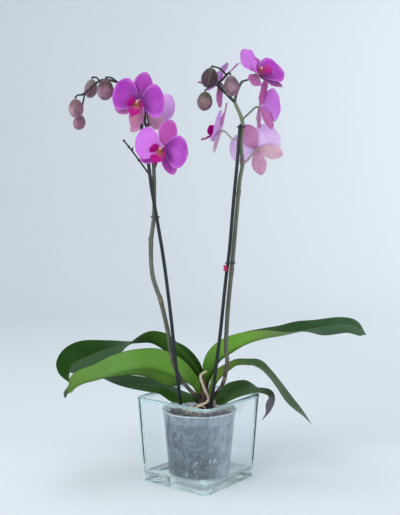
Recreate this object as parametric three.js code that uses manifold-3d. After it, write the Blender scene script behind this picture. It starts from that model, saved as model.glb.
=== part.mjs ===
// Potted moth orchid: two staked flower stems and six leaves growing in a clear
// nursery pot that stands in a square glass vase. Millimetres, +Z up, the origin
// on the surface under the middle of the vase, the front towards -Y.
import * as THREE from 'three';
import { ParametricGeometry } from 'three/addons/geometries/ParametricGeometry.js';
import { mergeVertices } from 'three/addons/utils/BufferGeometryUtils.js';
import Module from 'manifold-3d';

const wasm = await Module();
wasm.setup();

// ---------------------------------------------------------------- driving sizes
const GAP = 0.3; // between pieces that touch
const VASE = { bottom: 141, top: 156, height: 146, corner: 12, wall: 6.5, base: 15, turn: 52.5 };
const POT = { x: 0.5, y: -8, bottom: 50, top: 60, lip: 61.5, height: 110, wall: 1.3, lipHeight: 3 };
const BARK_TOP = 118;
const CROWN = { x: 9, y: 0, radius: 10, height: 58 };
const LEAF_THICKNESS = 2.6;
const STEM_FOOT = 3; // radius of a flower stem where it leaves the crown
const STEM_RADIUS = 3.7; // and half way up
const RACHIS_RADIUS = 2.1;
const PEDICEL_RADIUS = 1.6;
const STAKE_RADIUS = 2.9;
const PETAL = { length: 45, half: 27, rise: 0.6, round: 0.42, base: 1.5, thickness: 1.2 };
const SEPAL = { length: 47, half: 16.5, rise: 0.7, round: 0.55, base: 1, thickness: 1.2 };
const LOWER_SEPAL = { ...SEPAL, half: 13 };
const SEPAL_LAYER = -2.5; // how far behind the petals the sepals lie
const FLOWER_BACK = 4.2; // from a flower's centre to the end of its pedicel

const COLOUR = {
  glass: { color: 0xcfe4e2, roughness: 0.05, metalness: 0, transparent: true, opacity: 0.35 },
  clearPlastic: { color: 0x9fb0ba, roughness: 0.3, metalness: 0, transparent: true, opacity: 0.5 },
  bark: { color: 0x54433a, roughness: 0.95, metalness: 0 },
  crown: { color: 0x4f3d3a, roughness: 0.7, metalness: 0 },
  leaf: { color: 0x3f7a34, roughness: 0.35, metalness: 0 },
  stem: { color: 0x6c7457, roughness: 0.5, metalness: 0 },
  stake: { color: 0x363f4c, roughness: 0.45, metalness: 0 },
  tie: { color: 0x22262c, roughness: 0.4, metalness: 0 },
  clip: { color: 0xb3104a, roughness: 0.35, metalness: 0 },
  root: { color: 0xc9ae96, roughness: 0.8, metalness: 0 },
  bud: { color: 0x9a6f82, roughness: 0.5, metalness: 0 },
  petal: { color: 0xb850c8, roughness: 0.5, metalness: 0 },
  lip: { color: 0xb8107a, roughness: 0.45, metalness: 0 },
};

const plant = new THREE.Group();

// ------------------------------------------------------------------- solid tools
const vector = ([x, y, z]) => new THREE.Vector3(x, y, z);
const degrees = THREE.MathUtils.degToRad;

// A closed triangle soup becomes a solid: shared corners merged, pinched
// triangles dropped, faces turned outwards.
function solid(geometry) {
  geometry.deleteAttribute('normal');
  geometry.deleteAttribute('uv');
  const merged = mergeVertices(geometry, 1e-4);
  const place = merged.getAttribute('position');
  const corner = [0, 1, 2].map(() => new THREE.Vector3());
  const kept = [];
  let volume = 0;
  for (let i = 0; i < merged.index.count; i += 3) {
    const face = [0, 1, 2].map((k) => merged.index.getX(i + k));
    if (new Set(face).size < 3) continue;
    face.forEach((vertex, k) => corner[k].fromBufferAttribute(place, vertex));
    volume += corner[0].dot(corner[1].clone().cross(corner[2]));
    kept.push(face);
  }
  if (volume < 0) kept.forEach((face) => face.reverse());
  const mesh = { numProp: 3, vertProperties: new Float32Array(place.array), triVerts: new Uint32Array(kept.flat()) };
  return new wasm.Manifold(new wasm.Mesh(mesh));
}

function addPart(name, body, finish, parent = plant) {
  const mesh = body.getMesh();
  const geometry = new THREE.BufferGeometry();
  geometry.setAttribute('position', new THREE.BufferAttribute(mesh.vertProperties, 3));
  geometry.setIndex(new THREE.BufferAttribute(mesh.triVerts, 1));
  geometry.computeVertexNormals();
  const part = new THREE.Mesh(geometry, new THREE.MeshStandardMaterial(COLOUR[finish]));
  part.name = name;
  parent.add(part);
}

const union = (bodies) => bodies.reduce((all, body) => all.add(body));

// A smooth curve through hand-chosen points.
const curveThrough = (points) => new THREE.CatmullRomCurve3(points.map(vector), false, 'catmullrom', 0.5);

// A round rod along a curve, radius(t) from 0 to 1 along it, closed flat at both ends.
function rod(points, radius, sides = 6, steps = 4 * points.length) {
  const curve = curveThrough(points);
  const frames = curve.computeFrenetFrames(steps, false);
  const radiusAt = typeof radius === 'function' ? radius : () => radius;
  const skin = (u, v, target) => {
    const ring = Math.round(v * (steps + 2)) - 1;
    const step = Math.min(Math.max(ring, 0), steps);
    const capped = ring < 0 || ring > steps;
    const size = capped ? 0 : radiusAt(step / steps);
    const angle = 2 * Math.PI * u;
    curve.getPointAt(step / steps, target);
    target.addScaledVector(frames.normals[step], size * Math.cos(angle));
    target.addScaledVector(frames.binormals[step], size * Math.sin(angle));
  };
  return solid(new ParametricGeometry(skin, sides, steps + 2));
}

// The point of a rising curve at one height.
function pointAtHeight(points, height) {
  const curve = curveThrough(points);
  let low = 0;
  let high = 1;
  for (let i = 0; i < 30; i++) {
    const middle = (low + high) / 2;
    if (curve.getPoint(middle).z < height) low = middle;
    else high = middle;
  }
  return curve.getPoint(low);
}

// ------------------------------------------------------------------- vase and pot
// A rounded square prism, tapered from its lower to its upper side length.
function taperedSquare(lower, upper, from, to, corner) {
  const half = upper / 2;
  const shape = new THREE.Shape();
  const turns = [[1, 1, 0], [-1, 1, 90], [-1, -1, 180], [1, -1, 270]];
  for (const [sx, sy, start] of turns) {
    const centre = half - corner;
    shape.absarc(sx * centre, sy * centre, corner, degrees(start), degrees(start + 90), false);
  }
  const geometry = new THREE.ExtrudeGeometry(shape, { depth: to - from, bevelEnabled: false, curveSegments: 4 });
  const place = geometry.getAttribute('position');
  for (let i = 0; i < place.count; i++) {
    const z = place.getZ(i) + from;
    const scale = THREE.MathUtils.lerp(lower / upper, 1, (z - from) / (to - from));
    place.setXYZ(i, place.getX(i) * scale, place.getY(i) * scale, z);
  }
  return solid(geometry);
}

function glassVase() {
  const sideAt = (z) => THREE.MathUtils.lerp(VASE.bottom, VASE.top, z / VASE.height) - 2 * VASE.wall;
  const outside = taperedSquare(VASE.bottom, VASE.top, 0, VASE.height, VASE.corner);
  const above = VASE.height + 1;
  const inside = taperedSquare(sideAt(VASE.base), sideAt(above), VASE.base, above, VASE.corner - 4);
  return outside.subtract(inside).rotate([0, 0, VASE.turn]);
}

function turned(profile, segments = 32) {
  return solid(new THREE.LatheGeometry(profile.map(([r, z]) => new THREE.Vector2(r, z)), segments))
    .rotate([90, 0, 0]);
}

const potFloor = VASE.base + GAP;
const potRim = potFloor + POT.height;
const potWallAt = (z) => THREE.MathUtils.lerp(POT.bottom, POT.top, (z - potFloor) / POT.height);

// Clear nursery pot: a tapered cup with a small outward lip and seven drain holes.
function nurseryPot() {
  const lipFoot = potRim - POT.lipHeight;
  const cup = turned([
    [0, potFloor], [POT.bottom, potFloor], [potWallAt(lipFoot), lipFoot], [POT.lip, lipFoot],
    [POT.lip, potRim], [POT.top - POT.wall, potRim],
    [POT.bottom - POT.wall, potFloor + POT.wall], [0, potFloor + POT.wall],
  ]);
  const drain = turned([[0, potFloor - 1], [4.5, potFloor - 1], [4.5, potFloor + 3], [0, potFloor + 3]], 10);
  const holes = [drain];
  for (let i = 0; i < 6; i++) {
    const angle = degrees(60 * i + 30);
    holes.push(drain.translate([32 * Math.cos(angle), 32 * Math.sin(angle), 0]));
  }
  return cup.subtract(union(holes)).translate([POT.x, POT.y, 0]);
}

// ------------------------------------------------------------- stems and stakes
const STEM_LEFT = [
  [5, -5, 143], [-9, -19, 153], [-30, -31, 181], [-45, -36, 218], [-50, -36, 255], [-62, -34, 309],
  [-76.5, -30, 355], [-79, -27, 406], [-74, -29.5, 451], [-73, -26.5, 500], [-75, -24, 545], [-82, -18, 587],
  [-103, -14, 641], [-131, -22, 672],
];
const STAKE_LEFT = [
  [-25, -4, 42], [-30, -18, 124], [-34, -36, 172], [-38, -43, 210], [-46, -44, 290], [-57, -41, 378],
  [-67, -38, 440], [-77, -35.5, 498], [-84, -27, 548], [-97.5, -21, 619],
];
const STEM_RIGHT = [
  [13, -6, 136], [30, -22, 154], [42, -29, 175], [48, -29, 209], [46, -26, 233], [49, -22, 295],
  [56, -20, 370], [60.5, -19, 421], [68, -16, 507], [73, -12, 539], [70, -11, 575], [73, -9, 608],
  [60, -4, 642],
];
const STAKE_RIGHT = [
  [17, -12, 42], [21, -22, 128], [25, -31, 163], [31, -36, 216], [37, -35, 266], [45, -32, 345],
  [51.5, -30, 400], [58, -27, 478], [64, -23, 542], [69, -17, 606],
];

// Clock angles of the two petals and two lower sepals, as seen from the flower's front
// with its top sepal at 0, and how far the petals, the sepals and, where it differs,
// the top sepal tilt forward, in degrees.
const FLOWERS = {
  left_1: { at: [-96, -36, 640.5], face: [-0.28, -0.95, -0.16], lean: 16,
    petals: [-80, 75], sepals: [-123, 182], tilts: [5, -2] },
  left_2: { at: [-58, -48, 564.5], face: [-0.3, -0.93, -0.2], lean: 22,
    petals: [-94, 82], sepals: [-139, 140], tilts: [6, -2] },
  left_3: { at: [-83, 22, 629.5], face: [0.45, 0.8, -0.35], lean: -5,
    petals: [-80, 80], sepals: [-140, 140], tilts: [6, -2] },
  right_1: { at: [97.5, -20, 687], face: [0.5, -0.58, 0.64], lean: 10,
    petals: [-48, 78], sepals: [-145, 116], tilts: [16, 4] },
  right_2: { at: [104, -5, 633], face: [0.945, 0.32, 0.05], lean: 12,
    petals: [-82, 80], sepals: [-138, 134], tilts: [15, 11, 11] },
  right_3: { at: [99, 43, 567], face: [0.05, 0.95, 0.3], lean: -27,
    petals: [-76, 70], sepals: [-130, 164], tilts: [6, -2] },
  right_4: { at: [35.5, -10, 594.5], face: [-0.95, 0.08, 0.28], lean: 10,
    petals: [-80, 80], sepals: [-140, 140], tilts: [6, 3] },
  right_5: { at: [34, 46, 681], face: [-0.76, 0, 0.65], lean: 40,
    petals: [-80, 80], sepals: [-140, 142], tilts: [6, -38] },
};

// The three axes of a flower: right and up as seen from its front, and its face.
function flowerAxes({ face, lean }) {
  const front = vector(face).normalize();
  const up = new THREE.Vector3(Math.sin(degrees(lean)), 0, Math.cos(degrees(lean)));
  up.addScaledVector(front, -up.dot(front)).normalize();
  return { right: new THREE.Vector3().crossVectors(up, front), up, front };
}

function behindFlower(name, distance) {
  const flower = FLOWERS[name];
  return vector(flower.at).addScaledVector(flowerAxes(flower).front, -distance).toArray();
}

const BUDS = {
  left_1: { at: [-153, -26, 660], top: [0.12, 0, 1], length: 35, radius: 14 },
  left_2: { at: [-180, 3, 665], top: [0.2, -0.1, 1], length: 32, radius: 11 },
  left_3: { at: [-202, -21, 630], top: [-0.03, 0.1, 1], length: 32, radius: 12.5 },
  left_4: { at: [-200, 4, 609], top: [0.25, -0.1, 1], length: 26, radius: 10.5 },
  right_1: { at: [18, -28, 679], top: [0.24, 0.2, 1], length: 34, radius: 14 },
  right_2: { at: [54, -17, 667], top: [-0.09, 0.05, 1], length: 35, radius: 13 },
  right_3: { at: [10, -20, 642], top: [0.12, 0.1, 1], length: 32, radius: 13 },
};

function aboveBud(name, distance) {
  const bud = BUDS[name];
  return vector(bud.at).addScaledVector(vector(bud.top).normalize(), bud.length / 2 + distance).toArray();
}

const flowerStalk = (name, points) =>
  rod([...points, behindFlower(name, FLOWER_BACK + 6), behindFlower(name, FLOWER_BACK)], PEDICEL_RADIUS, 6, 10);
const budStalk = (name, points) => rod([...points, aboveBud(name, 2.5), aboveBud(name, GAP)], PEDICEL_RADIUS, 6, 9);

const taper = (from, to) => (t) => THREE.MathUtils.lerp(from, to, t);

// A flower stem thickens over its first quarter and thins over its upper half.
const stemTaper = (end, extra = 0) => (t) => {
  const { lerp } = THREE.MathUtils;
  return extra + Math.min(lerp(STEM_FOOT, STEM_RADIUS, 4 * t), STEM_RADIUS, lerp(STEM_RADIUS, end, 2 * t - 1));
};

function flowerStemLeft() {
  return union([
    rod(STEM_LEFT, stemTaper(RACHIS_RADIUS), 6, 46),
    rod([[-126, -20, 670], [-146, -18, 676], [-164, -14, 675], [-188, -12, 656], [-196, -10, 652]],
      RACHIS_RADIUS, 6, 12),
    rod([[-74, -27, 510], [-82, -20, 522], [-95, -22, 540], [-110, -34, 561], [-123, -43, 578]],
      taper(1.6, 1.1), 6, 9),
    flowerStalk('left_1', [[-89, -15, 607], [-88, -20, 625]]),
    flowerStalk('left_2', [[-74, -27, 525], [-68, -24, 543]]),
    flowerStalk('left_3', [[-83, -17, 592], [-84, -6, 612]]),
    budStalk('left_1', [[-134, -21, 673], [-142, -23, 679]]),
    budStalk('left_2', [[-163, -14, 675], [-169, -7, 681.5]]),
    budStalk('left_3', [[-193, -11, 653], [-199, -15, 652]]),
    budStalk('left_4', [[-188, -12, 656], [-192, -5, 642]]),
  ]);
}

function flowerStemRight() {
  return union([
    rod(STEM_RIGHT, stemTaper(2.9), 6, 42),
    rod([[60, -4, 640], [63, -4, 655], [70, -6, 672], [76, -8, 677]], taper(2.6, RACHIS_RADIUS), 6, 8),
    rod([[61, -4, 641], [46, -7, 655], [32, -9, 669], [40, -7, 679], [48.5, -5, 688]],
      taper(2.6, RACHIS_RADIUS), 6, 14),
    flowerStalk('right_1', [[74, -7, 676], [86, -8, 679]]),
    flowerStalk('right_2', [[73, -9, 613], [85, -6, 624]]),
    flowerStalk('right_3', [[73, -12, 540], [82, 6, 546]]),
    flowerStalk('right_4', [[70, -11, 579], [56, -9, 581]]),
    flowerStalk('right_5', [[34, -9, 667], [43, 13, 666]]),
    budStalk('right_1', [[46, -6, 686], [36, -14, 695]]),
    budStalk('right_2', [[47, -6, 686], [51, -9, 689]]),
    budStalk('right_3', [[35, -9, 667], [24, -11, 668]]),
  ]);
}

const stake = (points) => rod(points, STAKE_RADIUS, 8, 30);

// A stadium-shaped band round the stem and the stake at one height.
function band(stem, support, height, depth = 4, clearance = 0.5, wall = 1.1) {
  const first = pointAtHeight(stem, height);
  const second = pointAtHeight(support, height);
  const across = second.clone().sub(first);
  const span = across.length();
  const inner = STEM_RADIUS + clearance;
  const outline = (radius, path) => {
    path.absarc(0, 0, radius, degrees(90), degrees(270), false);
    path.absarc(span, 0, radius, degrees(270), degrees(450), false);
    return path;
  };
  const shape = outline(inner + wall, new THREE.Shape());
  shape.holes.push(outline(inner, new THREE.Path()));
  const geometry = new THREE.ExtrudeGeometry(shape, { depth, bevelEnabled: false, curveSegments: 6 });
  geometry.translate(0, 0, -depth / 2);
  const above = pointAtHeight(stem, height + depth).sub(first).normalize();
  const sideways = new THREE.Vector3().crossVectors(above, across).normalize();
  const along = new THREE.Vector3().crossVectors(across, sideways).normalize();
  geometry.applyMatrix4(new THREE.Matrix4().makeBasis(across.normalize(), sideways, along));
  geometry.translate(...first.toArray());
  return solid(geometry);
}

// Small round clip that grips the right stake.
function flowerClip(height) {
  const centre = pointAtHeight(STAKE_RIGHT, height);
  const profile = [[0, -5], [2.6, -5], [4.4, -3], [4.4, 3], [2.6, 5], [0, 5]];
  const knob = turned(profile, 12).translate([centre.x - 3.2, centre.y - 2.2, centre.z]);
  return knob.subtract(rod(STAKE_RIGHT, STAKE_RADIUS + GAP, 8, 30));
}

// ------------------------------------------------------------------------- leaves
// Each row is a station on the midrib: x, y, z, half width, and how far the near
// and the far half of the blade lift from level, in degrees.
const LEAVES = {
  leaf_left_back: { side: -1, stations: [
    [2, 14, 162, 13, 48, 60], [-11, 15, 183, 23, 39, 55], [-31, 17, 206, 30, 37, 40],
    [-58, 20, 220, 35, 59, 25], [-81, 22, 232, 36, 47, 6], [-104, 24, 232, 33, 22, -3],
    [-129, 28, 228, 32, -15, -1], [-163, 34, 217, 33, -36, 21], [-198, 40, 202, 39, -28, 46],
    [-221, 44, 190, 38, -12, 54], [-228, 44, 174, 31, -2, 57], [-229, 42, 158, 0, 0, 54]] },
  leaf_left_front: { side: -1, stations: [
    [-5, -3, 154, 12, 59, 49], [-12, 0, 163, 22, 65, 8], [-31, 3, 173, 32, 76, -36],
    [-51, 3, 181, 38, 84, -46], [-77, 0, 190, 40, 81, -37], [-105, -8, 192, 39, 75, -27],
    [-136, -18, 187, 39, 69, -15], [-168, -28, 179, 37, 58, -10], [-200, -38, 172, 32, 55, -16],
    [-213, -45, 164, 19, 38, -16], [-219, -49, 159, 8, 40, -14], [-221, -50, 151, 0, 44, -12]] },
  leaf_left_low: { side: -1, stations: [
    [-6, 4, 133, 11, -2, 40], [-18, 11, 136, 20, -20, 20], [-37, 18, 143, 27, -25, 6],
    [-61, 23, 152, 31, -10, 8], [-88, 26, 157, 32, -10, 12], [-120, 29, 161, 30, -6, 12],
    [-150, 32, 166, 24, -1, 10], [-178, 34, 172, 0, -2, 0]] },
  leaf_right_long: { side: 1, stations: [
    [18, 9, 168, 12, 60, 60], [25, 9, 183, 24, 63, 60], [36, 11, 202, 30, 70, 55],
    [54, 13, 215, 33, 71, 45], [82, 16, 231, 34, 50, 30], [113, 20, 240, 34, 35, 23],
    [146, 25, 245, 34, 17, 23], [176, 29, 251, 35, 7, 23], [210, 33, 256, 36, -13, 16],
    [252, 37, 261, 36, -14, 14], [280, 39, 254, 30, -17, 19], [294, 40, 242, 0, -11, 11]] },
  leaf_right_drooping: { side: 1, stations: [
    [25, 6, 155, 10, 56, 45], [35, 6, 172, 18, 59, 39], [50, 5, 186, 24, 45, 22],
    [65, 2, 197, 25, 34, 11], [83, -3, 199, 26, 22, 12], [102, -8, 197, 27, 4, 16],
    [118, -13, 186, 27, -3, 13], [134, -18, 168, 26, -7, 12], [151, -22, 144, 22, -9, 18],
    [173, -25, 122, 14, -7, 16], [192, -27, 100, 0, 5, 18]] },
  leaf_right_low: { side: 1, stations: [
    [25, 4, 136, 11, -17, 40], [37, 2, 141, 20, -25, 28], [54, -4, 151, 30, -16, 21],
    [78, -9, 157, 33, -4, 15], [101, -13, 161, 33, -2, -17], [122, -17, 158, 30, -13, -18],
    [129, -19, 144, 27, -32, -12], [122, -21, 124, 18, -43, -12], [106, -22, 106, 0, -4, 2]] },
};

// One value of the stations at t from 0 to 1, on a smooth curve through them.
function stationValues(stations, t) {
  const last = stations.length - 1;
  const index = Math.min(Math.floor(t * last), last - 1);
  const f = t * last - index;
  const row = (i) => stations[Math.min(Math.max(i, 0), last)];
  const before = (k) => (index > 0 ? row(index - 1)[k] : 2 * row(0)[k] - row(1)[k]);
  const after = (k) => (index < last - 1 ? row(index + 2)[k] : 2 * row(last)[k] - row(last - 1)[k]);
  return stations[0].map((_, k) => {
    const [a, b, c, d] = [before(k), row(index)[k], row(index + 1)[k], after(k)];
    return 0.5 * (2 * b + (c - a) * f + (2 * a - 5 * b + 4 * c - d) * f * f + (3 * b - a - 3 * c + d) * f ** 3);
  });
}

// The blade is a thin lens across the midrib, folded along it, closed at both ends.
function leaf({ side, stations }, steps = 26) {
  const midrib = (t) => vector(stationValues(stations, t));
  const skin = (u, v, target) => {
    const t = Math.min(Math.max((v * (steps + 1) - 1) / steps, 0), 1);
    const [, , , half, nearLift, farLift] = stationValues(stations, t);
    const size = v === 0 ? 0 : Math.max(half, 0);
    const tangent = midrib(Math.min(t + 0.01, 1)).sub(midrib(Math.max(t - 0.01, 0))).normalize();
    const near = new THREE.Vector3(0, -1, 0);
    near.addScaledVector(tangent, -near.dot(tangent)).normalize();
    const raised = new THREE.Vector3().crossVectors(near, tangent).multiplyScalar(side);
    const across = Math.cos(2 * Math.PI * u);
    const lift = across > 0 ? degrees(nearLift) : Math.PI - degrees(farLift);
    const outward = near.clone().multiplyScalar(Math.cos(lift)).addScaledVector(raised, Math.sin(lift));
    const tilt = degrees(across > 0.1 ? nearLift : across < -0.1 ? -farLift : (nearLift - farLift) / 2);
    const flat = near.clone().multiplyScalar(Math.cos(tilt)).addScaledVector(raised, Math.sin(tilt));
    const normal = new THREE.Vector3().crossVectors(tangent, flat).multiplyScalar(side);
    const thickness = (LEAF_THICKNESS / 2) * Math.sin(2 * Math.PI * u) * Math.min(1, size / 8);
    target.copy(midrib(t)).addScaledVector(outward, Math.abs(across) * size).addScaledVector(normal, -thickness);
  };
  return solid(new ParametricGeometry(skin, 12, steps + 1));
}

// ------------------------------------------------------------------------ flowers
// A thin lens-shaped blade from a base point: its half width grows as s^rise and
// closes as (1-s)^round; bend lifts the tip and cup lifts both edges.
function blade(size, base, along, across, bend, cup, steps = 7, sides = 6) {
  const normal = new THREE.Vector3().crossVectors(across, along);
  const widest = size.rise / (size.rise + size.round);
  const peak = widest ** size.rise * (1 - widest) ** size.round;
  const skin = (u, v, target) => {
    const s = (1 - Math.cos(Math.PI * v)) / 2;
    const half = (size.half * s ** size.rise * (1 - s) ** size.round) / peak;
    const t = Math.cos(2 * Math.PI * u);
    const thickness = (size.thickness / 2) * Math.sin(2 * Math.PI * u) * Math.min(1, half / 3);
    target.copy(base).addScaledVector(along, s * size.length).addScaledVector(across, t * half);
    target.addScaledVector(normal, bend * size.length * s * s + cup * half * t * t + thickness);
  };
  return solid(new ParametricGeometry(skin, sides, steps));
}

// A petal or sepal at one clock angle round the flower's centre.
function tepal(size, clock, tilt, bend, cup, layer, steps) {
  const angle = degrees(clock);
  const outward = new THREE.Vector3(Math.sin(angle), Math.cos(angle), 0);
  const across = new THREE.Vector3(Math.cos(angle), -Math.sin(angle), 0);
  const along = outward.clone().multiplyScalar(Math.cos(degrees(tilt))).setZ(Math.sin(degrees(tilt)));
  const base = outward.multiplyScalar(size.base).setZ(layer);
  return blade(size, base, along, across, bend, cup, steps);
}

function ellipsoid(halves, centre) {
  const geometry = new THREE.SphereGeometry(1, 8, 6);
  geometry.scale(...halves);
  return solid(geometry).translate(centre);
}

const flowerSepals = ({ sepals, tilts }) => union([
  tepal(SEPAL, 0, tilts[2] ?? Math.max(tilts[1], -6), 0.02, 0.12, SEPAL_LAYER, 6),
  ...sepals.map((clock, k) => tepal(LOWER_SEPAL, clock, tilts[1], 0.02, 0.12, SEPAL_LAYER - 0.5 * k, 6)),
  ellipsoid([3.2, 3.2, 1.2], [0, 0, SEPAL_LAYER - 0.1]),
]);

const flowerPetals = ({ petals, tilts }) => union([
  ...petals.map((clock, k) => tepal(PETAL, clock, tilts[0], 0.06, 0.05, 0.1 + 0.4 * k, 8)),
  ellipsoid([3.2, 3.2, 1.2], [0, 0, 0.3]),
  rod([[0, 0, 0.4], [0, 0.6, 6], [0, 0, 11]], taper(2.6, 2), 6, 5),
]);

// Three-lobed lip: a mid lobe forward and down, and a side lobe up each flank of the column.
const MID_LOBE = { length: 25, half: 11, rise: 1.3, round: 0.75, thickness: 1.4 };
const SIDE_LOBE = { length: 18, half: 9, rise: 0.85, round: 0.45, thickness: 1.4 };

function flowerLip() {
  const unit = (x, y, z) => new THREE.Vector3(x, y, z).normalize();
  const middle = blade(MID_LOBE, vector([0, -5.5, 4.6]), unit(0, -0.78, 0.62), unit(1, 0, 0), -0.12, -0.15, 5);
  const flank = (side) =>
    blade(SIDE_LOBE, vector([side * 3.4, -5.4, 4.6]), unit(side * 0.6, 0.2, 0.77),
      unit(side * 0.32, -0.94, 0.1), 0.06, 0.1, 6);
  return union([middle, flank(-1), flank(1), ellipsoid([4.6, 2.2, 1.8], [0, -5.8, 4.8])]);
}

function addFlower(name, flower) {
  const { right, up, front } = flowerAxes(flower);
  const group = new THREE.Group();
  group.quaternion.setFromRotationMatrix(new THREE.Matrix4().makeBasis(right, up, front));
  group.position.set(...flower.at);
  addPart(`flower_${name}_sepals`, flowerSepals(flower), 'petal', group);
  addPart(`flower_${name}_petals`, flowerPetals(flower), 'petal', group);
  addPart(`flower_${name}_lip`, flowerLip(), 'lip', group);
  plant.add(group);
}

// A closed bud: an egg, fuller towards the stalk, turned about its long axis.
function addBud(name, { at, top, length, radius }) {
  const profile = [];
  const steps = 7;
  for (let i = 0; i <= steps; i++) {
    const s = (1 - Math.cos((Math.PI * i) / steps)) / 2;
    const swell = Math.sin(Math.PI * s ** 0.88) ** 0.52;
    profile.push([i % steps ? radius * swell : 0, length * (s - 0.5)]);
  }
  const group = new THREE.Group();
  group.position.set(...at);
  group.quaternion.setFromUnitVectors(new THREE.Vector3(0, 0, 1), vector(top).normalize());
  addPart(`bud_${name}`, turned(profile, 10), 'bud', group);
  plant.add(group);
}

// ----------------------------------------------------------------- crown and roots
const AERIAL_ROOT = [
  [14.5, -17, 190], [6, -18, 186], [3.5, -20, 180], [6, -21.5, 171], [10.5, -21.5, 159], [16, -21, 148],
  [16.5, -21.5, 141], [11, -23, 136.5], [3, -25, 134], [-6, -27, 129], [-13, -28, 121.5],
];
const SURFACE_ROOTS = {
  surface_root_left: [[0, -12, 122], [-8, -17, 127], [-18, -16, 125], [-26, -6, 121]],
  surface_root_right: [[16, 8, 122], [25, 12, 127], [36, 8, 125], [44, 0, 121]],
};

function plantCrown() {
  const foot = BARK_TOP + GAP;
  const outline = [[0, 0], [0.8, 0], [1.05, 0.12], [1, 0.35], [0.75, 0.6], [0.4, 0.85], [0, 1]];
  const body = turned(outline.map(([r, h]) => [r * CROWN.radius, foot + h * CROWN.height]), 12)
    .translate([CROWN.x, CROWN.y, 0]);
  const clear = STEM_FOOT + 2 * GAP;
  const socket = (stem, steps) =>
    rod(stem, stemTaper(RACHIS_RADIUS, 2 * GAP), 6, steps).add(ellipsoid([clear, clear, clear], stem[0]));
  const sockets = [socket(STEM_LEFT, 46), socket(STEM_RIGHT, 42)];
  return body.subtract(union(sockets));
}

function barkMix() {
  const floor = potFloor + POT.wall + GAP;
  const inside = POT.wall + GAP + 0.2;
  const mound = turned([
    [0, floor], [potWallAt(floor) - inside, floor],
    [potWallAt(BARK_TOP) - inside, BARK_TOP - 3], [POT.top * 0.55, BARK_TOP], [0, BARK_TOP],
  ]).translate([POT.x, POT.y, 0]);
  const bores = [STAKE_LEFT, STAKE_RIGHT].map((points) => rod(points, STAKE_RADIUS + GAP + 0.2, 8, 30));
  return mound.subtract(union(bores));
}

// ----------------------------------------------------------------------- assembly
addPart('glass_vase', glassVase(), 'glass');
addPart('nursery_pot', nurseryPot(), 'clearPlastic');
addPart('bark_mix', barkMix(), 'bark');
addPart('plant_crown', plantCrown(), 'crown');
for (const [name, blade] of Object.entries(LEAVES)) addPart(name, leaf(blade), 'leaf');
addPart('flower_stem_left', flowerStemLeft(), 'stem');
addPart('flower_stem_right', flowerStemRight(), 'stem');
addPart('stake_left', stake(STAKE_LEFT), 'stake');
addPart('stake_right', stake(STAKE_RIGHT), 'stake');
addPart('stem_tie_left', band(STEM_LEFT, STAKE_LEFT, 452), 'tie');
addPart('stem_tie_right_top', band(STEM_RIGHT, STAKE_RIGHT, 600), 'tie');
addPart('stem_tie_right_middle', band(STEM_RIGHT, STAKE_RIGHT, 374.8), 'tie');
addPart('flower_clip', flowerClip(367), 'clip');
addPart('aerial_root', rod(AERIAL_ROOT, taper(2.9, 2.3), 8, 28), 'root');
for (const [name, points] of Object.entries(SURFACE_ROOTS)) addPart(name, rod(points, 1.5, 6, 10), 'root');
for (const [name, bud] of Object.entries(BUDS)) addBud(name, bud);
for (const [name, flower] of Object.entries(FLOWERS)) addFlower(name, flower);

export default plant;
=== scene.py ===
"""Potted moth orchid in a clear pot and a square glass vase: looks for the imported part.

Shapes are worked out in millimetres as whole numpy arrays and put into meshes in metres.
A shell is (rings, marks): rings is (n, m, 3), closed round each ring, whose first and
last ring are points; marks is (n, m, 4) and says where each point lies on its surface:
along it, across or round it, on which side, and its tone.
"""

import bpy
import numpy as np
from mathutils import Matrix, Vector


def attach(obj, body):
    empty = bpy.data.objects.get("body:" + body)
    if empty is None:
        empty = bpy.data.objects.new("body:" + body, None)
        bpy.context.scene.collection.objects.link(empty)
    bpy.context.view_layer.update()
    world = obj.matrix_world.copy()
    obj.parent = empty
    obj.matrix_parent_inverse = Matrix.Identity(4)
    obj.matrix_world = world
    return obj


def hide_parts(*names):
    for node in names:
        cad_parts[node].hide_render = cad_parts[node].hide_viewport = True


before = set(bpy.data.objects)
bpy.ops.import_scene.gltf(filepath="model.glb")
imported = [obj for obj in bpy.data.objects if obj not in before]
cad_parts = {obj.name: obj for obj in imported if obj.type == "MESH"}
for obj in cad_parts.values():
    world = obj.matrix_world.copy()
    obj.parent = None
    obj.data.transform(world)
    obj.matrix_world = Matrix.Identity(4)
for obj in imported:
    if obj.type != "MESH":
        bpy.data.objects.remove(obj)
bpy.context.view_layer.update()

MM = 0.001
TAU = 2 * np.pi
PATH_STEPS = 1200

# ------------------------------------------------------------------ shared measures
VASE = dict(bottom=141, top=156, height=146, corner=12, wall=6.5, base=15, turn=52.5)
POT = dict(bottom=50, top=60, lip=61.5, height=110, wall=1.3, ribs=12)
POT_MIDDLE = np.array([0.5, -8, 0])
POT_FLOOR = VASE["base"] + 0.3
CHIPS_LOW, BARK_CORE, BARK_TOP = 20, 113.5, 118
STEM_FOOT, STEM_RADIUS, RACHIS_RADIUS, STAKE_RADIUS = 3.0, 3.7, 2.1, 2.9
WIRE, TIE_SLACK = 0.6, 0.35
PETAL = dict(length=45, base=1.5)
SEPAL = dict(length=47, base=1)
PETAL_WIDTHS = [(0, 0), (0.04, 4.0), (0.12, 10.5), (0.25, 18.8), (0.4, 24.4), (0.56, 27.0), (0.7, 26.2),
                (0.82, 22.3), (0.91, 16.3), (0.97, 9.6), (1, 0)]
SEPAL_WIDTHS = [(0, 0), (0.05, 3.8), (0.2, 9.8), (0.38, 14.4), (0.55, 16.3), (0.7, 15.3), (0.84, 11.4),
                (0.94, 6.4), (1, 0)]
LOWER_SEPAL_WIDTHS = [(s, 0.79 * half) for s, half in SEPAL_WIDTHS]
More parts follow.
